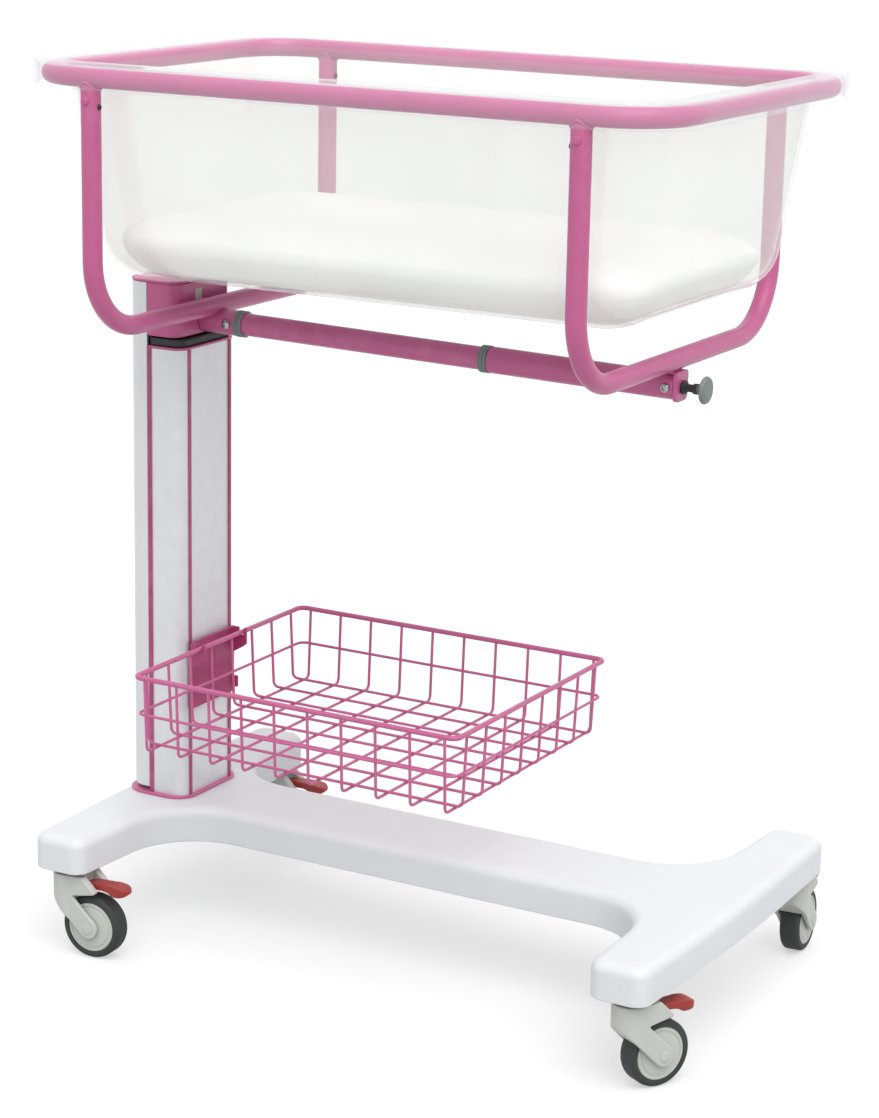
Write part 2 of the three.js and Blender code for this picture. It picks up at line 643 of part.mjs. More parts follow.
const endPlateStart = FRONT_SLEEVE_END + FIT_GAP;
const endPlateShape = planShape(
  [
    [-END_PLATE_RISE, -END_PLATE_HALF], [END_PLATE_DROP, -END_PLATE_HALF],
    [END_PLATE_DROP, END_PLATE_HALF], [-END_PLATE_RISE, END_PLATE_HALF],
  ],
  [4, 7, 7, 4],
);
const endPlateEnd = endPlateStart + END_PLATE_THICKNESS;
const endPlate = cut(
  onBeam(upright(endPlateShape, endPlateStart, endPlateEnd).rotateY(Math.PI / 2)),
  beamRod(KNOB_STEM_RADIUS + 1, endPlateStart - 5, endPlateEnd + 5),
);
add(bassinet, "beam_end_plate", endPlate, PINK_PAINT);

const knobBack = endPlateEnd + 18;
const stemEnd = RAIL_END - 18;
add(bassinet, "knob_stem", beamRod(KNOB_STEM_RADIUS, stemEnd, knobBack), BLACK_PLASTIC);
const knobStart = knobBack + FIT_GAP;
const knob = turned(
  [
    [0, knobStart], [5.5, knobStart], [7.5, knobStart + 3], [KNOB_RADIUS - 1.5, knobStart + 6.5],
    [KNOB_RADIUS, knobStart + 8], [KNOB_RADIUS - 1, KNOB_TIP - 1.5], [9, KNOB_TIP], [0, KNOB_TIP],
  ],
  24,
);
add(bassinet, "lock_knob", onBeam(knob.rotateY(Math.PI / 2)), GREY_PLASTIC);

const tubeSection = roundSection(TUBE_RADIUS, TUBE_SIDES);
const rim = loop(RIM_HALF_LENGTH, RIM_HALF_WIDTH, RIM_CORNER, RIM_HEIGHT, tubeSection);
add(bassinet, "cradle_rim", rim, PINK_PAINT);

function hoop(x) {
  const ends = [[-1, RIM_HEIGHT], [-1, HOOP_FLOOR], [1, HOOP_FLOOR], [1, RIM_HEIGHT]];
  const corners = ends.map(([side, z]) => new THREE.Vector3(x, side * RIM_HALF_WIDTH, z));
  const tube = sweep(roundedPath(corners, Array(4).fill(HOOP_BEND), false, 7), ALONG_X, tubeSection);
  const saddles = [-1, 1].map((side) =>
    rod(TUBE_RADIUS + FIT_GAP, x - 40, x + 40, RIM_HEIGHT, side * RIM_HALF_WIDTH, 24),
  );
  const notch = beamRod(SLEEVE_RADIUS + FIT_GAP, x - 40, x + 40, 24);
  return cut(tube, ...saddles, notch);
}
add(bassinet, "hoop_head_end", hoop(-HOOP_OFFSET), PINK_PAINT);
add(bassinet, "hoop_foot_end", hoop(HOOP_OFFSET), PINK_PAINT);

// Tub: clear moulding whose flange and skirt hang over the rim
function tub() {
  const top = RIM_HEIGHT + TUBE_RADIUS + FIT_GAP;
  const inside = TUBE_RADIUS + TUB_RIM_GAP;
  const mouthLength = RIM_HALF_LENGTH - inside;
  const mouthWidth = RIM_HALF_WIDTH - inside;
  const mouthCorner = RIM_CORNER - inside;
  const bends = [0, 20, 40, 60, 80].map(THREE.MathUtils.degToRad);
  const wall = (margin) => {
    const radius = TUB_BEND - margin;
    const length = mouthLength - TUB_INSET - TUB_BEND;
    const width = mouthWidth - TUB_INSET - TUB_BEND;
    const rounded = bends.map((angle) => {
      const out = radius * Math.sin(angle);
      const height = TUB_FLOOR + TUB_BEND - radius * Math.cos(angle);
      return levelRing(length + out, width + out, TUB_FLOOR_CORNER + out, height);
    });
    const neck = top - TUB_MOUTH_BEND;
    const mouth = levelRing(mouthLength - margin, mouthWidth - margin, mouthCorner - margin, neck);
    return [...rounded, mouth];
  };
  const reach = (offset, z) =>
    levelRing(RIM_HALF_LENGTH + offset, RIM_HALF_WIDTH + offset, RIM_CORNER + offset, z);
  const skirtInside = FLANGE_REACH - SKIRT_WALL;
  const flangeTop = top + TUB_WALL;
  const skirtFoot = flangeTop - SKIRT_DEPTH;
  const lip = [
    reach(-inside, top),
    reach(skirtInside, top),
    reach(skirtInside, skirtFoot),
    reach(FLANGE_REACH, skirtFoot),
    reach(FLANGE_REACH, flangeTop - FLANGE_EDGE),
    reach(FLANGE_REACH - FLANGE_EDGE, flangeTop),
    reach(-inside - TUB_WALL + FLANGE_EDGE, flangeTop),
  ];
  return skin([...wall(0), ...lip, ...wall(TUB_WALL).reverse()], false);
}
add(bassinet, "tub", tub(), CLEAR_ACRYLIC);

// Mattress: crowned pad whose sides draw in between its corners
function mattress() {
  const floor = TUB_FLOOR + TUB_WALL + 2 * FIT_GAP;
  const waistRadius = 900;
  const smallestCorner = 12;
  const waistFade = 90;
  const ring = (inset, z) => {
    const length = MATTRESS_HALF_LENGTH - inset;
    const width = MATTRESS_HALF_WIDTH - inset;
    const corner = Math.max(MATTRESS_CORNER - inset * 0.8, smallestCorner);
    const corners = rectangleCorners(length, width, z);
    const mids = [[0, -1], [1, 0], [0, 1], [-1, 0]];
    const drawn = corners.flatMap((at, index) => {
      const [mx, my] = mids[index];
      const pull = Math.max(0, 1 - inset / waistFade) * MATTRESS_WAIST;
      return [at, new THREE.Vector3(mx * (length - pull), my * (width - pull), z)];
    });
    const softness = drawn.map((_, index) => (index % 2 ? waistRadius : corner));
    return roundedPath(drawn, softness, true, 4).map(({ at }) => at);
  };
  // Each side ring is (inset, height above the floor), each crown ring (inset, share of the crown).
  const sides = [[44, 0], [22, 7], [8.5, 20], [0, 34], [3, 45]];
  const crown = [[14, -0.2], [32, 0.25], [66, 0.6], [112, 0.87], [160, 1]];
  const shoulder = floor + MATTRESS_HEIGHT;
  const rings = [
    ...sides.map(([inset, up]) => ring(inset, floor + up)),
    ...crown.map(([inset, share]) => ring(inset, shoulder + MATTRESS_CROWN * share)),
  ];
  return skin(rings, false);
}
add(bassinet, "mattress", mattress(), WHITE_FABRIC);

// Basket: welded wire tray hooked on a folded bracket on the column
function basket() {
  const floor = BASKET_RIM_HEIGHT - BASKET_DEPTH;
  const grid = roundSection(GRID_WIRE * Math.SQRT2, 4);
  const level = (inset, z, section) =>
    loop(BASKET_HALF_LENGTH - inset, BASKET_HALF_WIDTH - inset, BASKET_CORNER, z, section, BASKET_CENTRE, 4);
  const rimWire = level(0, BASKET_RIM_HEIGHT, roundSection(RIM_WIRE, 8));
  const middleWire = level(BASKET_TAPER / 2, (floor + BASKET_RIM_HEIGHT) / 2, grid);
  const bentWire = (half, low, normal, place) => {
    const bottom = half - BASKET_TAPER;
    const ends = [[-half, BASKET_RIM_HEIGHT], [-bottom, low], [bottom, low], [half, BASKET_RIM_HEIGHT]];
    return sweep(roundedPath(ends.map(place), Array(4).fill(WIRE_BEND), false, 2), normal, grid);
  };
  const wires = [];
  for (let wire = 0; wire < CROSS_WIRES; wire++) {
    const x = BASKET_CENTRE + (wire - (CROSS_WIRES - 1) / 2) * CROSS_SPACING;
    wires.push(bentWire(BASKET_HALF_WIDTH, floor, ALONG_X, ([y, z]) => new THREE.Vector3(x, y, z)));
  }
  const secondLayer = floor + 2 * GRID_WIRE + FIT_GAP;
  for (let wire = 0; wire < LONG_WIRES; wire++) {
    const y = (wire - (LONG_WIRES - 1) / 2) * LONG_SPACING;
    const place = ([x, z]) => new THREE.Vector3(BASKET_CENTRE + x, y, z);
    wires.push(bentWire(BASKET_HALF_LENGTH, secondLayer, TOWARDS_FRONT, place));
  }
  return join(rimWire, middleWire, ...wires);
}
add(bassinet, "basket", basket(), PINK_PAINT);

function basketBracket() {
  const face = COLUMN_FACE + FIT_GAP + TRIM_PROUD + FIT_GAP;
  const front = face + BRACKET_SHEET;
  const plate = box(face, front, -BRACKET_HALF, BRACKET_HALF, BRACKET_FLOOR, BRACKET_TOP);
  const rimX = BASKET_CENTRE - BASKET_HALF_LENGTH;
  const seat = RIM_WIRE + 0.7;
  const hookTip = BASKET_RIM_HEIGHT + 6;
  const hookFront = rimX + 7;
  const ear = new THREE.Shape();
  ear.moveTo(face, BASKET_RIM_HEIGHT - 28);
  ear.lineTo(rimX + 2, BASKET_RIM_HEIGHT - 18);
  ear.lineTo(hookFront, BASKET_RIM_HEIGHT - 14);
  ear.lineTo(hookFront, hookTip);
  ear.lineTo(rimX + seat, hookTip);
  ear.lineTo(rimX + seat, BASKET_RIM_HEIGHT);
  ear.absarc(rimX, BASKET_RIM_HEIGHT, seat, 0, -Math.PI, true);
  ear.lineTo(rimX - seat, BRACKET_TOP);
  ear.lineTo(face, BRACKET_TOP);
  const ears = [-1, 1].map((side) => {
    const thickness = { depth: BRACKET_SHEET, bevelEnabled: false, curveSegments: 6 };
    const sheet = new THREE.ExtrudeGeometry(ear, thickness);
    sheet.rotateX(Math.PI / 2);
    return sheet.translate(0, side > 0 ? BRACKET_HALF : -BRACKET_HALF + BRACKET_SHEET, 0);
  });
  const bosses = BRACKET_BOSSES.map((z) => rod(6, COLUMN_FACE + FIT_GAP, front - 1, z, 0, 16));
  const lug = box(front - 1, front + 6, BRACKET_HALF - BRACKET_SHEET, BRACKET_HALF, 264, 278);
  return join(plate, ...ears, ...bosses, lug);
}
add(bassinet, "basket_bracket", basketBracket(), PINK_PAINT);

export default bassinet;
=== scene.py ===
"""Looks of a hospital bassinet: smooth pieces, finishes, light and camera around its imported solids."""

import json
import math

import bmesh
import bpy
from mathutils import Matrix, Vector


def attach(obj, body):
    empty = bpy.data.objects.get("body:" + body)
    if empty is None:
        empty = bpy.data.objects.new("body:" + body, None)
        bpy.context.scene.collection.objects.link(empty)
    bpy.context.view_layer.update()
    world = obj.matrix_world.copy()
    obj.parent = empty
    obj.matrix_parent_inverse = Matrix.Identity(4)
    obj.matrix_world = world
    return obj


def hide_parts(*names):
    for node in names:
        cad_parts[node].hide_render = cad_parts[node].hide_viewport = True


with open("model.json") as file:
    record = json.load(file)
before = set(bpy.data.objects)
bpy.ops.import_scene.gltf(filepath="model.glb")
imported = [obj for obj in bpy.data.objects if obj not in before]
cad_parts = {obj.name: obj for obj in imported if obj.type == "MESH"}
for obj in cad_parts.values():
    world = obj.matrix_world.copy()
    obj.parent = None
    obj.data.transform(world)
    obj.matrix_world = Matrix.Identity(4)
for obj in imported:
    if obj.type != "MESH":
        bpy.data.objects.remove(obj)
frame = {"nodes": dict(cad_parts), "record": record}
scene = bpy.context.scene
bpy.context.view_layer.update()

# Dimensions, in millimetres unless a name says otherwise
MM = 0.001
FIT_GAP = 0.3

TUBE_RADIUS = 11
RIM_HALF_LENGTH = 377.5
RIM_HALF_WIDTH = 240
RIM_CORNER = 66
RIM_HEIGHT = 1015
HOOP_OFFSET = 293
HOOP_BEND = 80
HOOP_FLOOR = 737.5

BEAM_HEIGHT = 713.9
BEAM_DROP = math.radians(1.07)
RAIL_RADIUS = 13
RAIL_BORE = 10.5
RAIL_START = -345
RAIL_END = 290
SLEEVE_RADIUS = 14.8
SLEEVE_BORE = 13.4
REAR_SLEEVE = (-308.5, -262)
FRONT_SLEEVE = (69.5, 296)
BUSH_RADIUS = 15.4
BUSH_LENGTH = 10
BUSH_RIBS = 5
END_PLATE = (296.3, 301.3)
END_PLATE_HALF = 14.5
END_PLATE_DROP = 15.5
END_PLATE_RISE = 17.5
STEM_RADIUS = 5.5
KNOB_RADIUS = 15
KNOB = (319.6, 332)

TUB_FLOOR = 791
TUB_WALL = 4
TUB_RIM_GAP = 7.5
TUB_INSET = 17
TUB_BEND = 56
TUB_FLOOR_CORNER = 12
FLANGE_REACH = 19
SKIRT_WALL = 3.5
SKIRT_DEPTH = 27
FLANGE_FLOOR = RIM_HEIGHT + TUBE_RADIUS + FIT_GAP
FLANGE_TOP = FLANGE_FLOOR + TUB_WALL

MATTRESS_HALF_LENGTH = 331
MATTRESS_HALF_WIDTH = 193.5
MATTRESS_CORNER = 64
MATTRESS_WAIST = 4
MATTRESS_FLOOR = TUB_FLOOR + TUB_WALL + 0.6
MATTRESS_HEIGHT = 54
MATTRESS_CROWN = 10

BASE_UNDERSIDE = 105
BASE_TOP = 147
BASE_EDGE = 12
BASE_WALL = 6
HEAD_FOOT = -353
TAIL_FOOT = 363
FOOT_END_HALF = 34
FOOT_ROOT_HALF = 41
FOOT_BOW_HALF = 43
FOOT_BOW_RADIUS = 3000
FOOT_REACH = 243
FOOT_CORNER = 18
WAIST_HALF = 60
WAIST_FILLET = 86

# Each castor's place along and across, and the way its wheel trails, in degrees
CASTORS = {
    "front_left": (-352, -214, 4),
    "front_right": (369, -214, 61),
    "back_right": (369, 214, 95),
    "back_left": (-352, 214, 5),
}
CASTOR_TRAIL = 32
WHEEL_RADIUS = 37.5
WHEEL_HALF = 13
DISC_RADIUS = 29.5
FORK_INNER_HALF = 14.5
FORK_HALF = 19.5
FORK_TOP = 100
CROWN_RADIUS = 21
PEDAL_SLOT_HALF = 10.4
PEDAL_SLOT_FLOOR = 76
PEDAL_ROOT = 24
PEDAL_TIP = 79

COLUMN_FACE = -303.5
COLUMN_BACK = -351
COLUMN_HALF = 57
COLUMN_CORNER = 15
COLUMN_FOOT = 136.3
COLUMN_TOP = 689.5
RING_FLOOR = 147.3
RING_TOP = 150.3
TRIM_WIDTH = 5
TRIM_PROUD = 1.2
CAP_FLOOR = 692.6
CAP_TOP = 702.1
MAST_BACK = -383.5
MAST_CORNER = 25
MAST_WALL = 4
MAST_FOOT = 155
MAST_TOP = 765.5
HEAD_FACE = -309.3
HEAD_TONGUE_HALF = 40
HEAD_FLOOR = 704
PLATE_FLOOR = 765.8
PLATE_TOP = 768.8
PLUG_SIDES = (-20, -7)
PLUG_HEIGHTS = (743, 757)

BASKET_CENTRE = -76.5
BASKET_HALF_LENGTH = 210.5
BASKET_HALF_WIDTH = 178
BASKET_RIM_HEIGHT = 334
BASKET_FLOOR = 246
BASKET_TAPER = 4
BASKET_CORNER = 10
RIM_WIRE = 3
GRID_WIRE = 1.7
CROSS_WIRES = 10
CROSS_SPACING = 43.6
LONG_WIRES = 8
LONG_SPACING = 44
WIRE_BEND = 7
BRACKET_HALF = 46
BRACKET_FLOOR = 258
BRACKET_TOP = 340
BRACKET_SHEET = 3
BRACKET_TAB = (264, 278)

# The photo's camera: its place, its turns in degrees, and its focal length and frame in pixels
CAMERA_PLACE = Vector((1572.4, -2780.2, 1307.4))
CAMERA_YAW = -29.35
CAMERA_PITCH = 14.59
CAMERA_ROLL = 1.10
CAMERA_FOCUS_PIXELS = 2915.7
FRAME_HEIGHT_PIXELS = 1118

ALONG_X = Vector((1, 0, 0))
ALONG_Y = Vector((0, 1, 0))
UPWARD = Vector((0, 0, 1))
SQUARE = ((-1, -1), (1, -1), (1, 1), (-1, 1))


# Shader groups shared by the finishes
def shader_group(name, inputs, outputs):
    tree = bpy.data.node_groups.new(name, "ShaderNodeTree")
    for label, kind, value in inputs:
        tree.interface.new_socket(label, in_out="INPUT", socket_type=kind).default_value = value
    for label, kind in outputs:
        tree.interface.new_socket(label, in_out="OUTPUT", socket_type=kind)
    return tree, tree.nodes.new("NodeGroupInput"), tree.nodes.new("NodeGroupOutput")


def add_node(tree, kind, values=None, **settings):
    """A new node, with its settings made and its inputs linked or set."""
    made = tree.nodes.new(kind)
    for setting, value in settings.items():
        setattr(made, setting, value)
    for socket, value in (values or {}).items():
        if isinstance(value, bpy.types.NodeSocket):
            tree.links.new(value, made.inputs[socket])
        else:
            made.inputs[socket].default_value = value
    return made


def spot_noise(tree, scale, detail=2.0):
    place = add_node(tree, "ShaderNodeTexCoord").outputs["Object"]
    values = {"Vector": place, "Scale": scale, "Detail": detail}
    return add_node(tree, "ShaderNodeTexNoise", values).outputs["Fac"]


def spread(tree, value, low, high, to_low=0.0, to_high=1.0):
    values = {0: value, 1: low, 2: high, 3: to_low, 4: to_high}
    return add_node(tree, "ShaderNodeMapRange", values).outputs[0]


def times(tree, first, second):
    return add_node(tree, "ShaderNodeMath", {0: first, 1: second}, operation="MULTIPLY").outputs[0]


def larger(tree, first, second):
    return add_node(tree, "ShaderNodeMath", {0: first, 1: second}, operation="MAXIMUM").outputs[0]


def blend_colours(tree, share, first, second):
    values = {"Factor": share, 6: first, 7: second}
    return add_node(tree, "ShaderNodeMix", values, data_type="RGBA").outputs[2]


COLOUR = "NodeSocketColor"
NUMBER = "NodeSocketFloat"
GREY = (0.5, 0.5, 0.5, 1.0)
WHITE = (1.0, 1.0, 1.0, 1.0)


def make_fine_grain():
    tree, given, result = shader_group(
        "fine_grain", [("Scale", NUMBER, 900.0)], [("Height", NUMBER), ("Mask", NUMBER)]
    )
    fine = spot_noise(tree, given.outputs["Scale"])
    broad = spot_noise(tree, 26.0, 3.0)
    tree.links.new(fine, result.inputs["Height"])
    tree.links.new(spread(tree, broad, 0.3, 0.7), result.inputs["Mask"])
    return tree


def make_tone_drift():
    inputs = [("Colour", COLOUR, GREY), ("Shade", COLOUR, GREY)]
    inputs += [("Scale", NUMBER, 9.0), ("Amount", NUMBER, 0.4)]
    tree, given, result = shader_group("tone_drift", inputs, [("Colour", COLOUR)])
    cloud = spread(tree, spot_noise(tree, given.outputs["Scale"], 3.0), 0.35, 0.7)
    share = times(tree, cloud, given.outputs["Amount"])
    mixed = blend_colours(tree, share, given.outputs["Colour"], given.outputs["Shade"])
    tree.links.new(mixed, result.inputs["Colour"])
    return tree


def make_edge_wear():
    inputs = [("Colour", COLOUR, GREY), ("Worn", COLOUR, GREY), ("Amount", NUMBER, 0.3)]
    tree, given, result = shader_group("edge_wear", inputs, [("Colour", COLOUR), ("Mask", NUMBER)])
    sharpness = add_node(tree, "ShaderNodeNewGeometry").outputs["Pointiness"]
    edge = spread(tree, sharpness, 0.53, 0.62)
    rubbed = times(tree, edge, spread(tree, spot_noise(tree, 60.0, 4.0), 0.4, 0.65))
    share = times(tree, rubbed, given.outputs["Amount"])
    mixed = blend_colours(tree, share, given.outputs["Colour"], given.outputs["Worn"])
    tree.links.new(mixed, result.inputs["Colour"])
    tree.links.new(share, result.inputs["Mask"])
    return tree


def make_settled_dust():
    inputs = [("Colour", COLOUR, GREY), ("Dust", COLOUR, GREY), ("Amount", NUMBER, 0.1)]
    tree, given, result = shader_group("settled_dust", inputs, [("Colour", COLOUR)])
    facing = add_node(tree, "ShaderNodeNewGeometry").outputs["Normal"]
    level = add_node(tree, "ShaderNodeSeparateXYZ", {0: facing}).outputs["Z"]
    patches = spread(tree, spot_noise(tree, 35.0, 5.0), 0.35, 0.75)
    lying = times(tree, spread(tree, level, 0.55, 1.0), patches)
    share = times(tree, lying, given.outputs["Amount"])
    mixed = blend_colours(tree, share, given.outputs["Colour"], given.outputs["Dust"])
    tree.links.new(mixed, result.inputs["Colour"])
    return tree


def make_drawn_lines():
    """Fine upright lines, as an extrusion die leaves them."""
    tree, given, result = shader_group(
        "drawn_lines", [("Fineness", NUMBER, 700.0)], [("Height", NUMBER), ("Mask", NUMBER)]
    )
    place = add_node(tree, "ShaderNodeTexCoord").outputs["Object"]
    stretched = add_node(tree, "ShaderNodeMapping", {"Vector": place, "Scale": (1.0, 1.0, 0.004)})
    values = {"Vector": stretched.outputs[0], "Scale": given.outputs["Fineness"], "Detail": 3.0}
    lines = add_node(tree, "ShaderNodeTexNoise", values).outputs["Fac"]
    tree.links.new(lines, result.inputs["Height"])
    tree.links.new(spread(tree, lines, 0.3, 0.7), result.inputs["Mask"])
    return tree


def make_plain_weave():
    tree, given, result = shader_group(
        "plain_weave", [("Threads", NUMBER, 900.0)], [("Height", NUMBER), ("Mask", NUMBER)]
    )
    place = add_node(tree, "ShaderNodeTexCoord").outputs["Object"]
    parts = add_node(tree, "ShaderNodeSeparateXYZ", {0: place})
    turn = times(tree, given.outputs["Threads"], 2 * math.pi)

    def thread(axis):
        sloped = {0: parts.outputs[axis], 1: parts.outputs["Z"]}
        along = add_node(tree, "ShaderNodeMath", sloped, operation="ADD").outputs[0]
        phase = times(tree, along, turn)
        return add_node(tree, "ShaderNodeMath", {0: phase}, operation="SINE").outputs[0]

    crossing = times(tree, thread("X"), thread("Y"))
    tree.links.new(spread(tree, crossing, -1.0, 1.0), result.inputs["Height"])
    tree.links.new(spread(tree, spot_noise(tree, 14.0, 4.0), 0.35, 0.7), result.inputs["Mask"])
    return tree


FINE_GRAIN = make_fine_grain()
TONE_DRIFT = make_tone_drift()
EDGE_WEAR = make_edge_wear()
SETTLED_DUST = make_settled_dust()
DRAWN_LINES = make_drawn_lines()
PLAIN_WEAVE = make_plain_weave()


# Finishes
def shade(red, green, blue):
    """A colour from its usual 0 to 255 values, as the renderer's linear numbers."""
    parts = [level / 255 for level in (red, green, blue)]
    linear = [part / 12.92 if part <= 0.04045 else ((part + 0.055) / 1.055) ** 2.4 for part in parts]
    return (*linear, 1.0)


def place_group(tree, group, values):
    return add_node(tree, "ShaderNodeGroup", values, node_tree=group)


def blank_material(name):
    material = bpy.data.materials.new(name)
    material.use_nodes = True
    tree = material.node_tree
    return material, tree, tree.nodes["Principled BSDF"]


def solid_finish(name, colour, deep, worn, dust, roughness, texture, metallic=0.0, coat=0.0):
    """A coated, moulded or drawn surface: tone drift, rubbed edges, light dust and a fine relief."""
    material, tree, surface = blank_material(name)
    worn_colour, wear_amount = worn
    dust_colour, dust_amount = dust
    group, label, size, depth = texture
    toned = place_group(tree, TONE_DRIFT, {"Colour": colour, "Shade": deep})
    rubbed = place_group(
        tree, EDGE_WEAR, {"Colour": toned.outputs[0], "Worn": worn_colour, "Amount": wear_amount}
    )
    dusty = place_group(
        tree, SETTLED_DUST, {"Colour": rubbed.outputs["Colour"], "Dust": dust_colour, "Amount": dust_amount}
    )
    relief = place_group(tree, group, {label: size})
    low, high = roughness
    rough = spread(tree, relief.outputs["Mask"], 0.0, 1.0, low, high)
    bump = add_node(tree, "ShaderNodeBump", {"Height": relief.outputs["Height"], "Distance": depth * MM})
    tree.links.new(dusty.outputs[0], surface.inputs["Base Color"])
    tree.links.new(rough, surface.inputs["Roughness"])
    tree.links.new(bump.outputs[0], surface.inputs["Normal"])
    surface.inputs["Metallic"].default_value = metallic
    surface.inputs["Coat Weight"].default_value = coat
    return material


def fabric_finish(name, colour, deep):
    material, tree, surface = blank_material(name)
    weave = place_group(tree, PLAIN_WEAVE, {"Threads": 650.0})
    toned = place_group(tree, TONE_DRIFT, {"Colour": colour, "Shade": deep, "Scale": 16.0, "Amount": 0.5})
    rough = spread(tree, weave.outputs["Mask"], 0.0, 1.0, 0.82, 0.95)
    bump = add_node(tree, "ShaderNodeBump", {"Height": weave.outputs["Height"], "Distance": 0.25 * MM})
    tree.links.new(toned.outputs[0], surface.inputs["Base Color"])
    tree.links.new(rough, surface.inputs["Roughness"])
    tree.links.new(bump.outputs[0], surface.inputs["Normal"])
    surface.inputs["Sheen Weight"].default_value = 0.15
    return material


def clear_finish(name, colour, haze, clearness, passing_share, tint_level):
    """Thin clear acrylic with faint handling marks, whose coat reflects.

    Shadow rays all pass it, and so does a share of the rest, from face-on to grazing.
    """
    material, tree, surface = blank_material(name)
    grain = place_group(tree, FINE_GRAIN, {"Scale": 160.0})
    toned = place_group(tree, TONE_DRIFT, {"Colour": colour, "Shade": haze, "Scale": 6.0, "Amount": 0.5})
    tree.links.new(toned.outputs[0], surface.inputs["Base Color"])
    tree.links.new(spread(tree, grain.outputs["Mask"], 0.0, 1.0, 0.02, 0.07), surface.inputs["Roughness"])
    surface.inputs["Transmission Weight"].default_value = clearness
    surface.inputs["IOR"].default_value = 1.001
    surface.inputs["Coat Weight"].default_value = 0.8
    surface.inputs["Coat Roughness"].default_value = 0.04
    shadow = add_node(tree, "ShaderNodeLightPath").outputs["Is Shadow Ray"]
    tint = blend_colours(tree, shadow, shade(tint_level, tint_level, tint_level), (0.99, 0.99, 0.99, 1.0))
    passing = add_node(tree, "ShaderNodeBsdfTransparent", {"Color": tint})
    grazing = add_node(tree, "ShaderNodeLayerWeight").outputs["Facing"]
    straight = spread(tree, grazing, 0.5, 0.85, *passing_share)
    share = larger(tree, shadow, straight)
    mixed = add_node(tree, "ShaderNodeMixShader", {0: share, 1: surface.outputs[0], 2: passing.outputs[0]})
    tree.links.new(mixed.outputs[0], tree.nodes["Material Output"].inputs["Surface"])
    return material


PALE_DUST = shade(214, 212, 208)
MOULD_GRAIN = (FINE_GRAIN, "Scale", 1400.0, 0.02)
COAT_GRAIN = (FINE_GRAIN, "Scale", 620.0, 0.03)
TREAD_GRAIN = (FINE_GRAIN, "Scale", 900.0, 0.06)
DIE_LINES = (DRAWN_LINES, "Fineness", 800.0, 0.012)

FINISHES = {
    "pink_paint": solid_finish(
        "pink_powder_coat", shade(201, 98, 149), shade(189, 83, 135), (shade(224, 148, 186), 0.35),
        (PALE_DUST, 0.05), (0.34, 0.46), COAT_GRAIN, coat=0.15,
    ),
    "white_cover": solid_finish(
        "white_moulding", shade(230, 233, 236), shade(225, 228, 231), (shade(240, 241, 242), 0.3),
        (shade(222, 221, 218), 0.12), (0.42, 0.56), MOULD_GRAIN,
    ),
    "silver_profile": solid_finish(
        "satin_extrusion", shade(222, 224, 226), shade(212, 215, 218), (shade(238, 239, 240), 0.3),
        (PALE_DUST, 0.05), (0.3, 0.44), DIE_LINES, metallic=0.35,
    ),
    "black_plastic": solid_finish(
        "black_moulding", shade(40, 42, 43), shade(30, 31, 32), (shade(78, 80, 80), 0.4),
        (shade(120, 118, 114), 0.12), (0.46, 0.62), MOULD_GRAIN,
    ),
    "grey_plastic": solid_finish(
        "grey_moulding", shade(128, 137, 136), shade(112, 120, 120), (shade(164, 170, 168), 0.4),
        (PALE_DUST, 0.08), (0.44, 0.58), MOULD_GRAIN,
    ),
    "castor_plastic": solid_finish(
        "pale_grey_moulding", shade(203, 205, 199), shade(192, 194, 188), (shade(222, 223, 218), 0.4),
        (shade(176, 172, 164), 0.14), (0.4, 0.54), MOULD_GRAIN,
    ),
    "tyre_rubber": solid_finish(
        "tyre_rubber", shade(50, 53, 53), shade(42, 45, 45), (shade(84, 86, 84), 0.5),
        (shade(118, 115, 108), 0.12), (0.6, 0.82), TREAD_GRAIN,
    ),
    "brake_red": solid_finish(
        "brake_red_moulding", shade(158, 45, 39), shade(144, 39, 35), (shade(188, 86, 80), 0.4),
        (PALE_DUST, 0.08), (0.32, 0.44), MOULD_GRAIN,
    ),
    "bare_steel": solid_finish(
        "bare_steel", shade(166, 169, 172), shade(150, 154, 158), (shade(206, 208, 210), 0.4),
        (PALE_DUST, 0.05), (0.24, 0.36), MOULD_GRAIN, metallic=0.9,
    ),
    "white_fabric": fabric_finish("white_cover_cloth", shade(252, 252, 251), shade(246, 247, 247)),
    "clear_acrylic": clear_finish(
        "clear_acrylic", shade(247, 248, 246), shade(238, 240, 239),
        clearness=0.84, passing_share=(0.3, 0.2), tint_level=248,
    ),
}
# A darker copy of the pink coat, painted shade: the basket hanger lies in the tub's shadow, and the column
# strips wear it too.
SHADED_PINK_COPY = solid_finish(
    "pink_coat_painted_shade", shade(176, 62, 116), shade(162, 54, 104), (shade(200, 112, 154), 0.35),
    (PALE_DUST, 0.05), (0.34, 0.46), COAT_GRAIN,
)
CLEAR_FLANGE = clear_finish(
    "clear_flange", shade(244, 246, 248), shade(238, 240, 243),
    clearness=0.7, passing_share=(0.75, 0.15), tint_level=253,
)


# Mesh forms: each is a shell, a list of points and a list of faces, in millimetres
def rounded(corners, radii, closed=True, steps=10):
    """Points along a path through corners, each corner turned with its own radius."""
    count = len(corners)
    points = []
    for index, corner in enumerate(corners):
        if not closed and index in (0, count - 1):
            points.append(corner.copy())
            continue
        arriving = (corner - corners[index - 1]).normalized()
        leaving = (corners[(index + 1) % count] - corner).normalized()
        turn = arriving.angle(leaving)
        radius = radii[index]
        start = corner - arriving * radius * math.tan(turn / 2)
        inward = (leaving - arriving * leaving.dot(arriving)).normalized()
        for step in range(steps + 1):
            angle = turn * step / steps
            ahead = arriving * radius * math.sin(angle)
            points.append(start + ahead + inward * radius * (1 - math.cos(angle)))
    return points


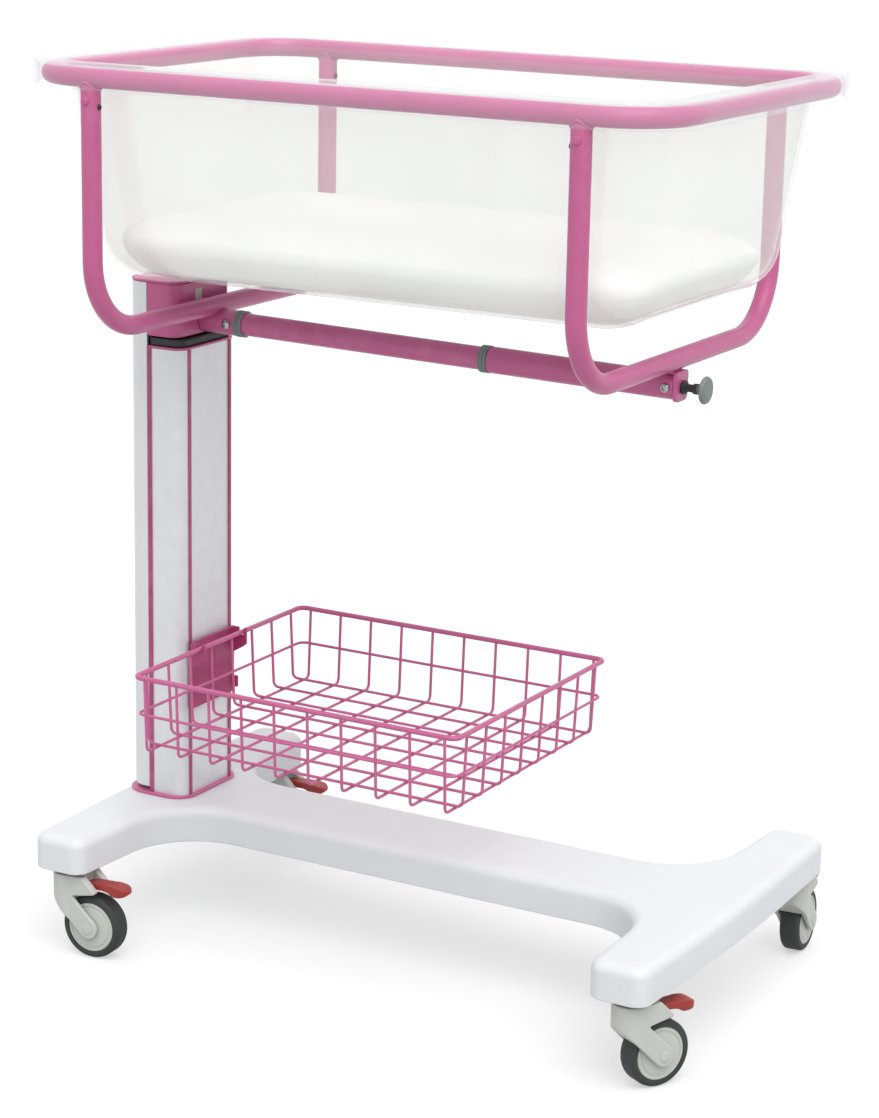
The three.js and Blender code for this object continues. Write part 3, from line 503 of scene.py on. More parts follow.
def skin(rings, closed=False):
    """A shell through equal rings of points, its ends joined or capped."""
    size = len(rings[0])
    points = [point for ring in rings for point in ring]
    faces = []
    for band in range(len(rings) if closed else len(rings) - 1):
        here = band * size
        there = (band + 1) % len(rings) * size
        for side in range(size):
            beside = (side + 1) % size
            faces.append([here + side, here + beside, there + beside, there + side])
    if not closed:
        last = (len(rings) - 1) * size
        faces.append(list(range(size))[::-1])
        faces.append(list(range(last, last + size)))
    return points, faces


def swept(path, normal, radius, sides=28, closed=False):
    """A round bar along a path that lies in the plane with this normal."""
    count = len(path)
    rings = []
    for index, point in enumerate(path):
        tangent = Vector()
        if closed or index > 0:
            tangent += (point - path[index - 1]).normalized()
        if closed or index < count - 1:
            tangent += (path[(index + 1) % count] - point).normalized()
        across = normal.cross(tangent.normalized())
        angles = [2 * math.pi * side / sides for side in range(sides)]
        rings.append([point + (across * math.cos(a) + normal * math.sin(a)) * radius for a in angles])
    return skin(rings, closed)


def turned(profile, segments=48, closed=False):
    """A shell of revolution round Z from (radius, height) pairs."""
    angles = [2 * math.pi * segment / segments for segment in range(segments)]
    rings = [[Vector((r * math.cos(a), r * math.sin(a), z)) for a in angles] for r, z in profile]
    return skin(rings, closed)


def slab(outline, low, high):
    """An upright slab with this plan outline, a list of points at height 0."""
    rings = [[point + UPWARD * height for point in outline] for height in (low, high)]
    return skin(rings)


def plan(corners, radii, steps=10):
    return rounded([Vector((x, y, 0)) for x, y in corners], radii, True, steps)


def oblong(back, face, half, back_corner, face_corner):
    corners = [(back, -half), (face, -half), (face, half), (back, half)]
    return plan(corners, [back_corner, face_corner, face_corner, back_corner])


def brick(x0, x1, y0, y1, z0, z1):
    return slab([Vector(corner) for corner in ((x0, y0, 0), (x1, y0, 0), (x1, y1, 0), (x0, y1, 0))], z0, z1)


def moved(shell, place):
    points, faces = shell
    return [place @ point for point in points], faces


def level_ring(half_length, half_width, corner, height, steps=12, centre=0.0):
    corners = [Vector((centre + sx * half_length, sy * half_width, height)) for sx, sy in SQUARE]
    return rounded(corners, [corner] * 4, True, steps)


def arc(centre, radius, start, stop, steps=12):
    """Points of an arc, from one angle in degrees to another, in a flat drawing."""
    angles = [math.radians(start + (stop - start) * step / steps) for step in range(steps + 1)]
    return [(centre[0] + radius * math.cos(a), centre[1] + radius * math.sin(a)) for a in angles]


def bow(start, control, end, steps=8):
    """Points of a quadratic curve in a flat drawing, without its first point."""
    shares = [step / steps for step in range(1, steps + 1)]
    return [
        tuple((1 - t) ** 2 * s + 2 * t * (1 - t) * c + t * t * e for s, c, e in zip(start, control, end))
        for t in shares
    ]


# A drawing of (x, z) points stands upright in the XZ plane; its depth then runs along Y.
STANDING = Matrix.Rotation(math.pi / 2, 4, "X")
# The beam under the tub slopes a little; a turned piece lies along it, its height towards the foot end.
BEAM_SLOPE = Matrix.Translation((0, 0, BEAM_HEIGHT)) @ Matrix.Rotation(BEAM_DROP, 4, "Y")
ON_BEAM = BEAM_SLOPE @ Matrix.Rotation(math.pi / 2, 4, "Y")


def standing_slab(drawing, y0, y1):
    return moved(slab([Vector((x, z, 0)) for x, z in drawing], -y1, -y0), STANDING)


def make_mesh(name, shells, smooth_angle=32):
    points = []
    faces = []
    for shell_points, shell_faces in shells:
        start = len(points)
        points += [point * MM for point in shell_points]
        faces += [[start + index for index in face] for face in shell_faces]
    mesh = bpy.data.meshes.new(name)
    mesh.from_pydata(points, [], faces)
    facing = bmesh.new()
    facing.from_mesh(mesh)
    bmesh.ops.recalc_face_normals(facing, faces=facing.faces)
    facing.to_mesh(mesh)
    facing.free()
    soften(mesh, smooth_angle)
    return mesh


def soften(mesh, smooth_angle):
    mesh.polygons.foreach_set("use_smooth", [True] * len(mesh.polygons))
    mesh.set_sharp_from_angle(angle=math.radians(smooth_angle))


def put(name, mesh, slot, body, nodes=(), place=None, edge=0.0, finish=None):
    """Sets a mesh into the scene with its finish, on its body, in place of the named solids."""
    piece = bpy.data.objects.new(name, mesh)
    scene.collection.objects.link(piece)
    mesh.materials.clear()
    mesh.materials.append(finish or FINISHES[slot])
    if place:
        piece.matrix_world = place
    if edge:
        rounding = piece.modifiers.new("rounded_edges", "BEVEL")
        rounding.width = edge * MM
        rounding.segments = 3
        rounding.limit_method = "ANGLE"
        rounding.angle_limit = math.radians(40)
        evened = piece.modifiers.new("even_normals", "WEIGHTED_NORMAL")
        evened.keep_sharp = True
    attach(piece, body)
    if nodes:
        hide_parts(*nodes)
    return piece


def build(name, shells, slot, body, *nodes, edge=0.0, finish=None):
    return put(name, make_mesh(name, shells), slot, body, nodes, edge=edge, finish=finish)


# Base cover: one moulding, open below, with soft upper edges
def foot_outline(margin):
    reach = FOOT_REACH - margin
    waist = WAIST_HALF - margin
    end = FOOT_END_HALF - margin
    root = FOOT_ROOT_HALF - margin
    outer = FOOT_BOW_HALF - margin
    corner = max(FOOT_CORNER - margin, 2)
    fillet = WAIST_FILLET + margin
    back = [
        (TAIL_FOOT + end, reach), (TAIL_FOOT - end, reach), (TAIL_FOOT - root, waist),
        (HEAD_FOOT + root, waist), (HEAD_FOOT + end, reach), (HEAD_FOOT - end, reach),
    ]
    front = [(x, -y) for x, y in reversed(back)]
    corners = [(TAIL_FOOT + outer, 0), *back, (HEAD_FOOT - outer, 0), *front]
    radii = [FOOT_BOW_RADIUS, corner, corner, fillet, fillet, corner, corner]
    return plan(corners, radii + radii, 12)


def base_shell():
    flat_border = 3
    lip = 1.2
    levels = [(BASE_WALL, BASE_TOP - BASE_WALL), (BASE_WALL, BASE_UNDERSIDE), (lip, BASE_UNDERSIDE)]
    levels.append((0, BASE_UNDERSIDE + lip))
    for inset, height in arc((BASE_EDGE, BASE_TOP - BASE_EDGE), BASE_EDGE, 180, 90, 8):
        levels.append((inset, height))
    levels.append((BASE_EDGE + flat_border, BASE_TOP))
    return skin([[point + UPWARD * height for point in foot_outline(inset)] for inset, height in levels])


build("base_shell", [base_shell()], "white_cover", "base", "base_cover")


# Castors: a fork with a hood, a capped axle, a wheel disc, a tyre and a brake pedal at each corner
def fork_side():
    """Side view of the fork: a shoulder, an arm down to the axle and a short roof over the wheel."""
    top = FORK_TOP - 0.5
    drawing = [(-CROWN_RADIUS, top), (-CROWN_RADIUS, 74)]
    drawing += arc((CASTOR_TRAIL, WHEEL_RADIUS), 12, -135, 45)
    drawing += [(11, 75), (41, 80.5), (42.5, 83), (26, top)]
    return standing_slab(drawing, -FORK_HALF - 4, FORK_HALF + 4)


def fork_plan():
    """Plan of the fork: round behind the stem, straight cheeks in front."""
    meeting = math.degrees(math.asin(FORK_HALF / CROWN_RADIUS))
    rear = arc((0, 0), CROWN_RADIUS, meeting, 360 - meeting, 32)
    drawing = [(60, -FORK_HALF), (60, FORK_HALF), *rear]
    return slab([Vector((x, y, 0)) for x, y in drawing], 0, FORK_TOP + 10)


def cross_bar(radius, half, x, z):
    place = Matrix.Translation((x, 0, z)) @ Matrix.Rotation(math.pi / 2, 4, "X")
    return moved(turned([(radius, -half), (radius, half)], 72), place)


def loose_object(name, shells):
    loose = bpy.data.objects.new(name, make_mesh(name, shells))
    scene.collection.objects.link(loose)
    return loose


def carved(name, shell, cuts, grain, rounds):
    """A casting: a block kept or cut by other shells, then melted until its corners are soft."""
    block = loose_object(name, [shell])
    tools = []
    for operation, tool_shell in cuts:
        tools.append(loose_object("carving_tool", [tool_shell]))
        change = block.modifiers.new("carve", "BOOLEAN")
        change.operation = operation
        change.object = tools[-1]
    melt = block.modifiers.new("melt", "REMESH")
    melt.mode = "VOXEL"
    melt.voxel_size = grain * MM
    ease = block.modifiers.new("ease", "SMOOTH")
    ease.factor = 0.5
    ease.iterations = rounds
    depsgraph = bpy.context.evaluated_depsgraph_get()
    cast = bpy.data.meshes.new_from_object(block.evaluated_get(depsgraph))
    cast.name = name
    for loose in (block, *tools):
        bpy.data.objects.remove(loose)
    soften(cast, 60)
    return cast


ON_AXLE = Matrix.Translation((CASTOR_TRAIL, 0, WHEEL_RADIUS)) @ Matrix.Rotation(-math.pi / 2, 4, "X")


def disc_shell():
    face = [
        (DISC_RADIUS - 0.3, 2.2), (DISC_RADIUS - 1.2, 1.3), (26, 1.3), (25.5, 2.2), (24, 2.2), (23.5, 1.2),
        (18, 0.6), (11, 0.2), (8, 0.2),
    ]
    upper = [(radius, WHEEL_HALF - sunk) for radius, sunk in face]
    lower = [(radius, -height) for radius, height in reversed(upper)]
    return moved(turned(lower + upper, 64), ON_AXLE)


def tyre_shell():
    shoulder = 5
    round_off = arc((WHEEL_RADIUS - shoulder, WHEEL_HALF - shoulder - 1), shoulder, 0, 78, 8)
    upper = round_off + [(DISC_RADIUS, WHEEL_HALF - 1.6)]
    lower = [(radius, -height) for radius, height in reversed(upper)]
    return moved(turned(lower + upper, 72, True), ON_AXLE)


def axle_shell():
    seat = FORK_HALF + 0.2
    upper = [(3, seat), (6.3, seat), (6.4, seat + 0.4), (5.6, seat + 0.8), (3, seat + 0.9), (1, seat + 0.9)]
    lower = [(radius, -height) for radius, height in reversed(upper)]
    return moved(turned(lower + upper, 32), ON_AXLE)


def pedal_side():
    """Side view of the pedal: a paddle with a thick rounded toe."""
    drawing = [(PEDAL_ROOT, 83.8), (49, 83.6)]
    drawing += bow((49, 83.6), (55, 83), (58, 80.5))
    drawing += bow((58, 80.5), (60, 79), (64, 79))
    drawing += bow((64, 79), (PEDAL_TIP - 1, 79), (PEDAL_TIP, 85))
    drawing += bow((PEDAL_TIP, 85), (PEDAL_TIP - 3, 91), (58, 91.6))
    drawing += [(34, 91.6), (PEDAL_ROOT, 90)]
    return standing_slab(drawing, -20, 20)


def pedal_plan():
    root, tip = PEDAL_ROOT, PEDAL_TIP
    corners = [(root, -9), (42, -9), (62, -11), (tip, -11), (tip, 11), (62, 11), (42, 9), (root, 9)]
    return slab(plan(corners, [3, 20, 20, 10.5, 10.5, 20, 20, 3], 8), 60, 110)


fork_cuts = [
    ("INTERSECT", fork_plan()),
    ("DIFFERENCE", cross_bar(WHEEL_RADIUS + 4, FORK_INNER_HALF, CASTOR_TRAIL, WHEEL_RADIUS)),
    ("DIFFERENCE", brick(CROWN_RADIUS, 60, -PEDAL_SLOT_HALF, PEDAL_SLOT_HALF, PEDAL_SLOT_FLOOR, FORK_TOP)),
]
fork_mesh = carved("castor_fork_cast", fork_side(), fork_cuts, grain=0.9, rounds=5)
pedal_mesh = carved("pedal_moulded", pedal_side(), [("INTERSECT", pedal_plan())], grain=0.8, rounds=8)
disc_mesh = make_mesh("wheel_disc_turned", [disc_shell()])
tyre_mesh = make_mesh("tyre_turned", [tyre_shell()])
axle_mesh = make_mesh("axle_capped", [axle_shell()])

for corner, (x, y, degrees) in CASTORS.items():
    stand = Matrix.Translation((x * MM, y * MM, 0)) @ Matrix.Rotation(math.radians(degrees), 4, "Z")
    put(f"fork_{corner}", fork_mesh, "castor_plastic", f"castor_{corner}", [f"castor_fork_{corner}"], stand)
    put(f"axle_{corner}", axle_mesh, "castor_plastic", f"castor_{corner}", [f"castor_axle_{corner}"], stand)
    put(f"disc_{corner}", disc_mesh, "castor_plastic", f"wheel_{corner}", [f"wheel_disc_{corner}"], stand)
    put(f"tread_{corner}", tyre_mesh, "tyre_rubber", f"wheel_{corner}", [f"tyre_{corner}"], stand)
    put(f"pedal_{corner}", pedal_mesh, "brake_red", f"brake_{corner}", [f"brake_pedal_{corner}"], stand)


# Column and mast
def column_outline(margin):
    back = COLUMN_BACK - margin
    face = COLUMN_FACE + margin
    return oblong(back, face, COLUMN_HALF + margin, 2, COLUMN_CORNER + margin)


column_shell = slab(column_outline(0), COLUMN_FOOT, COLUMN_TOP)
build("column_shell", [column_shell], "silver_profile", "base", "column_profile")
foot_flange = slab(oblong(MAST_BACK - 5, COLUMN_FACE + 6, COLUMN_HALF + 6, 30, 27), RING_FLOOR, RING_TOP)
build("foot_flange", [foot_flange], "pink_paint", "base", "column_foot_ring", edge=1.4)

strip_floor = RING_TOP + FIT_GAP
strip_offset = COLUMN_HALF - COLUMN_CORNER - 0.5
for end, sign in (("front", -1), ("back", 1)):
    face = COLUMN_FACE + FIT_GAP
    along = sign * strip_offset
    half = TRIM_WIDTH / 2
    strip = brick(face, face + TRIM_PROUD, along - half, along + half, strip_floor, COLUMN_TOP)
    # The face strip takes the darker copy of the pink coat: painted shade.
    build(f"face_strip_{end}", [strip], "pink_paint", "base", f"face_trim_{end}", edge=0.5, finish=SHADED_PINK_COPY)
    inner = sign * (COLUMN_HALF + FIT_GAP)
    outer = sign * (COLUMN_HALF + FIT_GAP + TRIM_PROUD)
    edge_x = COLUMN_BACK + 0.5
    strip = brick(edge_x, edge_x + TRIM_WIDTH, min(inner, outer), max(inner, outer), strip_floor, COLUMN_TOP)
    # The side strip takes the darker copy of the pink coat: painted shade.
    build(f"side_strip_{end}", [strip], "pink_paint", "base", f"side_trim_{end}", edge=0.5, finish=SHADED_PINK_COPY)

column_lip = slab(column_outline(1), COLUMN_TOP + FIT_GAP, COLUMN_TOP + 2.8)
build("column_lip", [column_lip], "pink_paint", "base", "column_edge_trim", edge=0.8)
# The black band under the head: the column's black cap, whose black is also painted shade in the gap beneath
# the head.
column_cap_band_and_shade = slab(column_outline(-2), CAP_FLOOR, CAP_TOP)
build("column_cap_band_and_shade", [column_cap_band_and_shade], "black_plastic", "base", "column_cap", edge=2.5)


def mast_channel():
    face = COLUMN_BACK - 1
    back = MAST_BACK + MAST_WALL
    half = COLUMN_HALF - MAST_WALL
    outer = [(face, -COLUMN_HALF), (MAST_BACK, -COLUMN_HALF), (MAST_BACK, COLUMN_HALF), (face, COLUMN_HALF)]
    inner = [(face, half), (back, half), (back, -half), (face, -half)]
    bend = MAST_CORNER - MAST_WALL
    radii = [0.8, MAST_CORNER, MAST_CORNER, 0.8, 0.8, bend, bend, 0.8]
    return slab(plan(outer + inner, radii, 12), MAST_FOOT, MAST_TOP)


build("mast_channel", [mast_channel()], "silver_profile", "mast", "mast_profile", edge=0.5)

tongue_back = MAST_BACK + MAST_WALL + FIT_GAP
head_shells = [
    slab(oblong(COLUMN_BACK - 0.7, HEAD_FACE, COLUMN_HALF, 1, COLUMN_CORNER), HEAD_FLOOR, MAST_TOP),
    slab(oblong(tongue_back, COLUMN_BACK, HEAD_TONGUE_HALF, 12, 1), HEAD_FLOOR, MAST_TOP - 1),
]
build("head_block", head_shells, "pink_paint", "mast", "head_bracket", edge=1.5)
plate_outline = oblong(MAST_BACK - 1, HEAD_FACE, COLUMN_HALF + 0.5, 26, COLUMN_CORNER)
head_plate = slab(plate_outline, PLATE_FLOOR, PLATE_TOP)
build("head_plate", [head_plate], "pink_paint", "mast", "head_top_plate", edge=1.2)
head_plug = brick(HEAD_FACE - 1, HEAD_FACE + 0.6, *PLUG_SIDES, *PLUG_HEIGHTS)
build("head_plug", [head_plug], "castor_plastic", "mast", edge=0.5)


# Beam: rail, sleeves, bushes, screws, end plate and lock knob
def pipe(radius, bore, start, stop, chamfer=0.8):
    profile = [
        (bore, start), (radius - chamfer, start), (radius, start + chamfer), (radius, stop - chamfer),
        (radius - chamfer, stop), (bore, stop),
    ]
    return moved(turned(profile, 48, True), ON_BEAM)


build("rail_tube", [pipe(RAIL_RADIUS, RAIL_BORE, RAIL_START, RAIL_END)], "pink_paint", "mast", "cradle_rail")
build("sleeve_rear", [pipe(SLEEVE_RADIUS, SLEEVE_BORE, *REAR_SLEEVE)], "pink_paint", "cradle", "rear_sleeve")


def saddle_shell():
    """The block on the front sleeve that carries the foot-end hoop."""
    seat_z = HOOP_FLOOR - BEAM_HEIGHT + math.sin(BEAM_DROP) * HOOP_OFFSET
    hollow = arc((HOOP_OFFSET, seat_z), TUBE_RADIUS + FIT_GAP, -74, -150, 14)
    low = SLEEVE_BORE + 1
    drawing = [(FRONT_SLEEVE[1] - 18, low), (FRONT_SLEEVE[1], low)] + hollow
    return moved(standing_slab(drawing, -10, 10), BEAM_SLOPE)


front_shells = [pipe(SLEEVE_RADIUS, SLEEVE_BORE, *FRONT_SLEEVE), saddle_shell()]
build("sleeve_front", front_shells, "pink_paint", "cradle", "front_sleeve", edge=0.6)


def bush_shell(start):
    groove = 0.7
    width = BUSH_LENGTH / BUSH_RIBS
    profile = [(RAIL_RADIUS + FIT_GAP, start)]
    for rib in range(BUSH_RIBS):
        radius = BUSH_RADIUS if rib % 2 == 0 else BUSH_RADIUS - groove
        profile += [(radius, start + rib * width + 0.1), (radius, start + (rib + 1) * width - 0.1)]
    profile.append((RAIL_RADIUS + FIT_GAP, start + BUSH_LENGTH))
    return moved(turned(profile, 48, True), ON_BEAM)


rear_bush = bush_shell(REAR_SLEEVE[1] + FIT_GAP)
front_bush = bush_shell(FRONT_SLEEVE[0] - FIT_GAP - BUSH_LENGTH)
build("bush_rear", [rear_bush], "grey_plastic", "cradle", "rear_bush")
build("bush_front", [front_bush], "grey_plastic", "cradle", "front_bush")


def screw_shell(along):
    """A round-headed screw with a socket, on the front of a sleeve."""
    seat = SLEEVE_RADIUS + FIT_GAP
    profile = [
        (2, seat), (5.2, seat), (5.2, seat + 1.6), (4.7, seat + 2.8), (3.8, seat + 3.6), (2.6, seat + 4),
        (2.4, seat + 2), (0.5, seat + 2),
    ]
    face_front = Matrix.Translation((along, 0, 0)) @ Matrix.Rotation(math.pi / 2, 4, "X")
    return moved(turned(profile, 32), BEAM_SLOPE @ face_front)


build("screw_rear", [screw_shell(REAR_SLEEVE[1] - 8)], "bare_steel", "cradle", "rear_sleeve_screw")
build("screw_front", [screw_shell(FRONT_SLEEVE[1] - 8)], "bare_steel", "cradle", "front_sleeve_screw")
end_outline = plan(
    [
        (-END_PLATE_RISE, -END_PLATE_HALF), (END_PLATE_DROP, -END_PLATE_HALF),
        (END_PLATE_DROP, END_PLATE_HALF), (-END_PLATE_RISE, END_PLATE_HALF),
    ],
    [4, 7, 7, 4],
)
end_block = moved(slab(end_outline, *END_PLATE), ON_BEAM)
build("end_block", [end_block], "pink_paint", "cradle", "beam_end_plate", edge=0.9)


def threaded_shell():
    """The stem: a thread inside the rail, a collar at the end plate, a thin shank and the knob's neck."""
    start = RAIL_END - 18
    collar = END_PLATE[1] + FIT_GAP
    neck = KNOB[0] - 6
    pitch = 1.6
    turns = int((collar - start) / pitch)
    profile = []
    for turn in range(turns):
        root = start + turn * pitch
        profile += [(STEM_RADIUS - 0.7, root), (STEM_RADIUS, root + pitch / 2)]
    profile += [(7, collar), (7.6, collar + 0.8), (7.6, collar + 3.4)]
    profile += [(6.6, collar + 4.4), (4.4, collar + 5)]
    profile += [(4.2, neck), (5.6, neck + 1.2), (6, KNOB[0] - 0.6), (5.4, KNOB[0] + 0.4)]
    return moved(turned(profile, 32), ON_BEAM)


build("threaded_stem", [threaded_shell()], "black_plastic", "knob", "knob_stem")


def knob_shell():
    back, tip = KNOB
    profile = [
        (3, back), (5, back), (5.8, back + 1.5), (7.2, back + 3), (10.5, back + 5),
        (KNOB_RADIUS - 1, back + 6.6), (KNOB_RADIUS, back + 7.8), (KNOB_RADIUS - 0.2, tip - 2.6),
        (KNOB_RADIUS - 1.4, tip - 1), (KNOB_RADIUS - 4, tip - 0.2), (6, tip), (2, tip),
    ]
    return moved(turned(profile, 48), ON_BEAM)


build("knob_head", [knob_shell()], "grey_plastic", "knob", "lock_knob")

# Cradle: closed rim and two hoops of bent tube
rim_path = level_ring(RIM_HALF_LENGTH, RIM_HALF_WIDTH, RIM_CORNER, RIM_HEIGHT, 20)
build("rim_tube", [swept(rim_path, UPWARD, TUBE_RADIUS, 36, True)], "pink_paint", "cradle", "cradle_rim")


def hoop_shell(x):
    leg_top = RIM_HEIGHT - TUBE_RADIUS * 0.6
    ends = [(-1, leg_top), (-1, HOOP_FLOOR), (1, HOOP_FLOOR), (1, leg_top)]
    corners = [Vector((x, side * RIM_HALF_WIDTH, z)) for side, z in ends]
    return swept(rounded(corners, [HOOP_BEND] * 4, False, 18), ALONG_X, TUBE_RADIUS, 36)


def weld_shell(x, side):
    """The bead where a leg meets the rim, along the line in which the two tubes cross."""
    bead = 1.5
    reach = TUBE_RADIUS + FIT_GAP
    path = []
    for step in range(48):
        angle = 2 * math.pi * step / 48
        drop = reach * math.sqrt(math.cos(angle) ** 2 + 0.15)
        across = side * RIM_HALF_WIDTH + reach * math.sin(angle)
        path.append(Vector((x + reach * math.cos(angle), across, RIM_HEIGHT - drop)))
    return swept(path, UPWARD, bead, 10, True)


def stud_shell(radius, rise, place):
    """A low dome on a short round foot."""
    dome = [(1, 0.3), (0.85, 0.75), (0.5, 1), (0.1, 1)]
    profile = [(radius, -1)] + [(radius * share, rise * up) for share, up in dome]
    return moved(turned(profile, 24), place)


RIVET_HEIGHT = RIM_HEIGHT - TUBE_RADIUS - 13
LEG_SCREW_HEIGHT = RIM_HEIGHT - 31
for end, x in (("head", -HOOP_OFFSET), ("foot", HOOP_OFFSET)):
    shells = [hoop_shell(x)]
    screws = []
    for side in (-1, 1):
        outer = Matrix.Translation((x, side * (RIM_HALF_WIDTH + TUBE_RADIUS), RIVET_HEIGHT))
        shells.append(weld_shell(x, side))
        shells.append(stud_shell(5, 2.4, outer @ Matrix.Rotation(-side * math.pi / 2, 4, "X")))
        inward = -1 if x > 0 else 1
        inner = Matrix.Translation((x + inward * TUBE_RADIUS, side * RIM_HALF_WIDTH, LEG_SCREW_HEIGHT))
        screws.append(stud_shell(3.2, 1.6, inner @ Matrix.Rotation(inward * math.pi / 2, 4, "Y")))
    build(f"hoop_tube_{end}", shells, "pink_paint", "cradle", f"hoop_{end}_end")
    build(f"leg_screws_{end}", screws, "black_plastic", "cradle")


# Tub: clear moulding with a flange over the rim and a skirt outside it
def tub_shell():
    inside = TUBE_RADIUS + TUB_RIM_GAP
    mouth_bend = 8
    flange_edge = 1.6

    def wall(margin):
        radius = TUB_BEND - margin
        length = RIM_HALF_LENGTH - inside - TUB_INSET - TUB_BEND
        width = RIM_HALF_WIDTH - inside - TUB_INSET - TUB_BEND
        rings = []
        for out, drop in arc((0, 0), radius, -90, -4, 12):
            height = TUB_FLOOR + TUB_BEND + drop
            rings.append(level_ring(length + out, width + out, TUB_FLOOR_CORNER + out, height))
        return rings

    def reach(offset, height):
        return level_ring(RIM_HALF_LENGTH + offset, RIM_HALF_WIDTH + offset, RIM_CORNER + offset, height)

    under_bend = [
        reach(-inside + out, FLANGE_FLOOR - mouth_bend + rise)
        for out, rise in arc((mouth_bend, 0), mouth_bend, 180, 90, 4)
    ]
    skirt_inside = FLANGE_REACH - SKIRT_WALL
    skirt_foot = FLANGE_TOP - SKIRT_DEPTH
    outside = [
        reach(skirt_inside - 2, FLANGE_FLOOR), reach(skirt_inside, FLANGE_FLOOR - 2),
        reach(skirt_inside, skirt_foot + 0.8), reach(skirt_inside + 0.8, skirt_foot),
        reach(FLANGE_REACH - 0.8, skirt_foot), reach(FLANGE_REACH, skirt_foot + 0.8),
        reach(FLANGE_REACH, FLANGE_TOP - 3), reach(FLANGE_REACH - 0.9, FLANGE_TOP - 0.9),
        reach(FLANGE_REACH - 3, FLANGE_TOP),
    ]
    wide_bend = mouth_bend + TUB_WALL
    over_bend = [
        reach(-inside - TUB_WALL + wide_bend * out, FLANGE_TOP - wide_bend * drop)
        for out, drop in arc((1, 1), 1, 270, 180, 4)
    ]
    return skin([*wall(0), *under_bend, *outside, *over_bend, *reversed(wall(TUB_WALL))])


clear_tub = build("clear_tub", [tub_shell()], "clear_acrylic", "tub", "tub")
clear_tub.data.materials.append(CLEAR_FLANGE)
skirt_foot_height = (FLANGE_TOP - SKIRT_DEPTH - 1) * MM
for face in clear_tub.data.polygons:
    if face.center.z > skirt_foot_height:
        face.material_index = 1


# Mattress: a crowned pad whose cover swells under its filling
def mattress_shell(shrink):
    waist_radius = 900
    smallest_corner = 12
    waist_fade = 90

    def ring(inset, height):
        length = MATTRESS_HALF_LENGTH - inset - shrink
        width = MATTRESS_HALF_WIDTH - inset - shrink
        corner = max(MATTRESS_CORNER - inset * 0.8, smallest_corner)
        pull = max(0.0, 1 - inset / waist_fade) * MATTRESS_WAIST
        corners = [
            (-length, -width), (0, -width + pull), (length, -width), (length - pull, 0),
            (length, width), (0, width - pull), (-length, width), (-length + pull, 0),
        ]
        path = [Vector((x, y, MATTRESS_FLOOR + height)) for x, y in corners]
        return rounded(path, [corner, waist_radius] * 4, True, 8)

    sides = [(44, 0), (22, 7), (8.5, 20), (0, 34), (3, 45)]
    crown = [(14, -0.2), (32, 0.25), (66, 0.6), (112, 0.87), (160, 1)]
    rings = [ring(inset, up) for inset, up in sides]
    rings += [ring(inset, MATTRESS_HEIGHT - shrink + MATTRESS_CROWN * share) for inset, share in crown]
    return skin(rings)


def swell(piece, pressure, frames, most):
    """Runs the cover as cloth under inner pressure, each point moving no further than most."""
    start = [vertex.co.copy() for vertex in piece.data.vertices]
    cloth = piece.modifiers.new("filling", "CLOTH")
    cloth.settings.quality = 4
    cloth.settings.use_pressure = True
    cloth.settings.uniform_pressure_force = pressure
    cloth.settings.effector_weights.gravity = 0
    cloth.point_cache.frame_start = 1
    cloth.point_cache.frame_end = frames
    for number in range(1, frames + 1):
        scene.frame_set(number)
    depsgraph = bpy.context.evaluated_depsgraph_get()
    shaped = [vertex.co.copy() for vertex in piece.evaluated_get(depsgraph).data.vertices]
    piece.modifiers.remove(cloth)
    scene.frame_set(1)
    for vertex, before, after in zip(piece.data.vertices, start, shaped):
        step = after - before
        if step.length > most * MM:
            step *= most * MM / step.length
        vertex.co = before + step


def gather_corners(mesh):
    """Soft upright folds where the cover is drawn together at its corners."""
    folds = 9
    depth = 1.5
    centre = Vector((MATTRESS_HALF_LENGTH - MATTRESS_CORNER, MATTRESS_HALF_WIDTH - MATTRESS_CORNER)) * MM
    for vertex in mesh.vertices:
        out = Vector((abs(vertex.co.x), abs(vertex.co.y))) - centre
        low = 1 - abs((vertex.co.z / MM - MATTRESS_FLOOR) / 20 - 0.9)
        if out.x <= 0 or out.y <= 0 or low <= 0:
            continue
        bearing = math.atan2(out.y, out.x)
        push = out.normalized() * depth * MM * low * math.sin(bearing * 2 * folds) * math.sin(bearing * 2)
        vertex.co.x += math.copysign(push.x, vertex.co.x)
        vertex.co.y += math.copysign(push.y, vertex.co.y)


def make_mattress():
    shrink = 1.5
    pad = bpy.data.objects.new("mattress_pad", make_mesh("mattress_pad", [mattress_shell(shrink)]))
    scene.collection.objects.link(pad)
    even = pad.modifiers.new("even_cover", "REMESH")
    even.mode = "VOXEL"
    even.voxel_size = 6 * MM
    depsgraph = bpy.context.evaluated_depsgraph_get()
    cover = bpy.data.meshes.new_from_object(pad.evaluated_get(depsgraph))
    pad.modifiers.clear()
    pad.data = cover
    cover.name = "mattress_pad"
    swell(pad, pressure=4.0, frames=20, most=5)
    gather_corners(cover)
    floor = MATTRESS_FLOOR * MM
    for vertex in cover.vertices:
        vertex.co.z = max(vertex.co.z, floor)
    soften(cover, 180)
    cover.materials.clear()
    cover.materials.append(FINISHES["white_fabric"])
    finer = pad.modifiers.new("finer_cover", "SUBSURF")
    finer.levels = 1
    finer.render_levels = 1
    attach(pad, "mattress")
    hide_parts("mattress")


make_mattress()


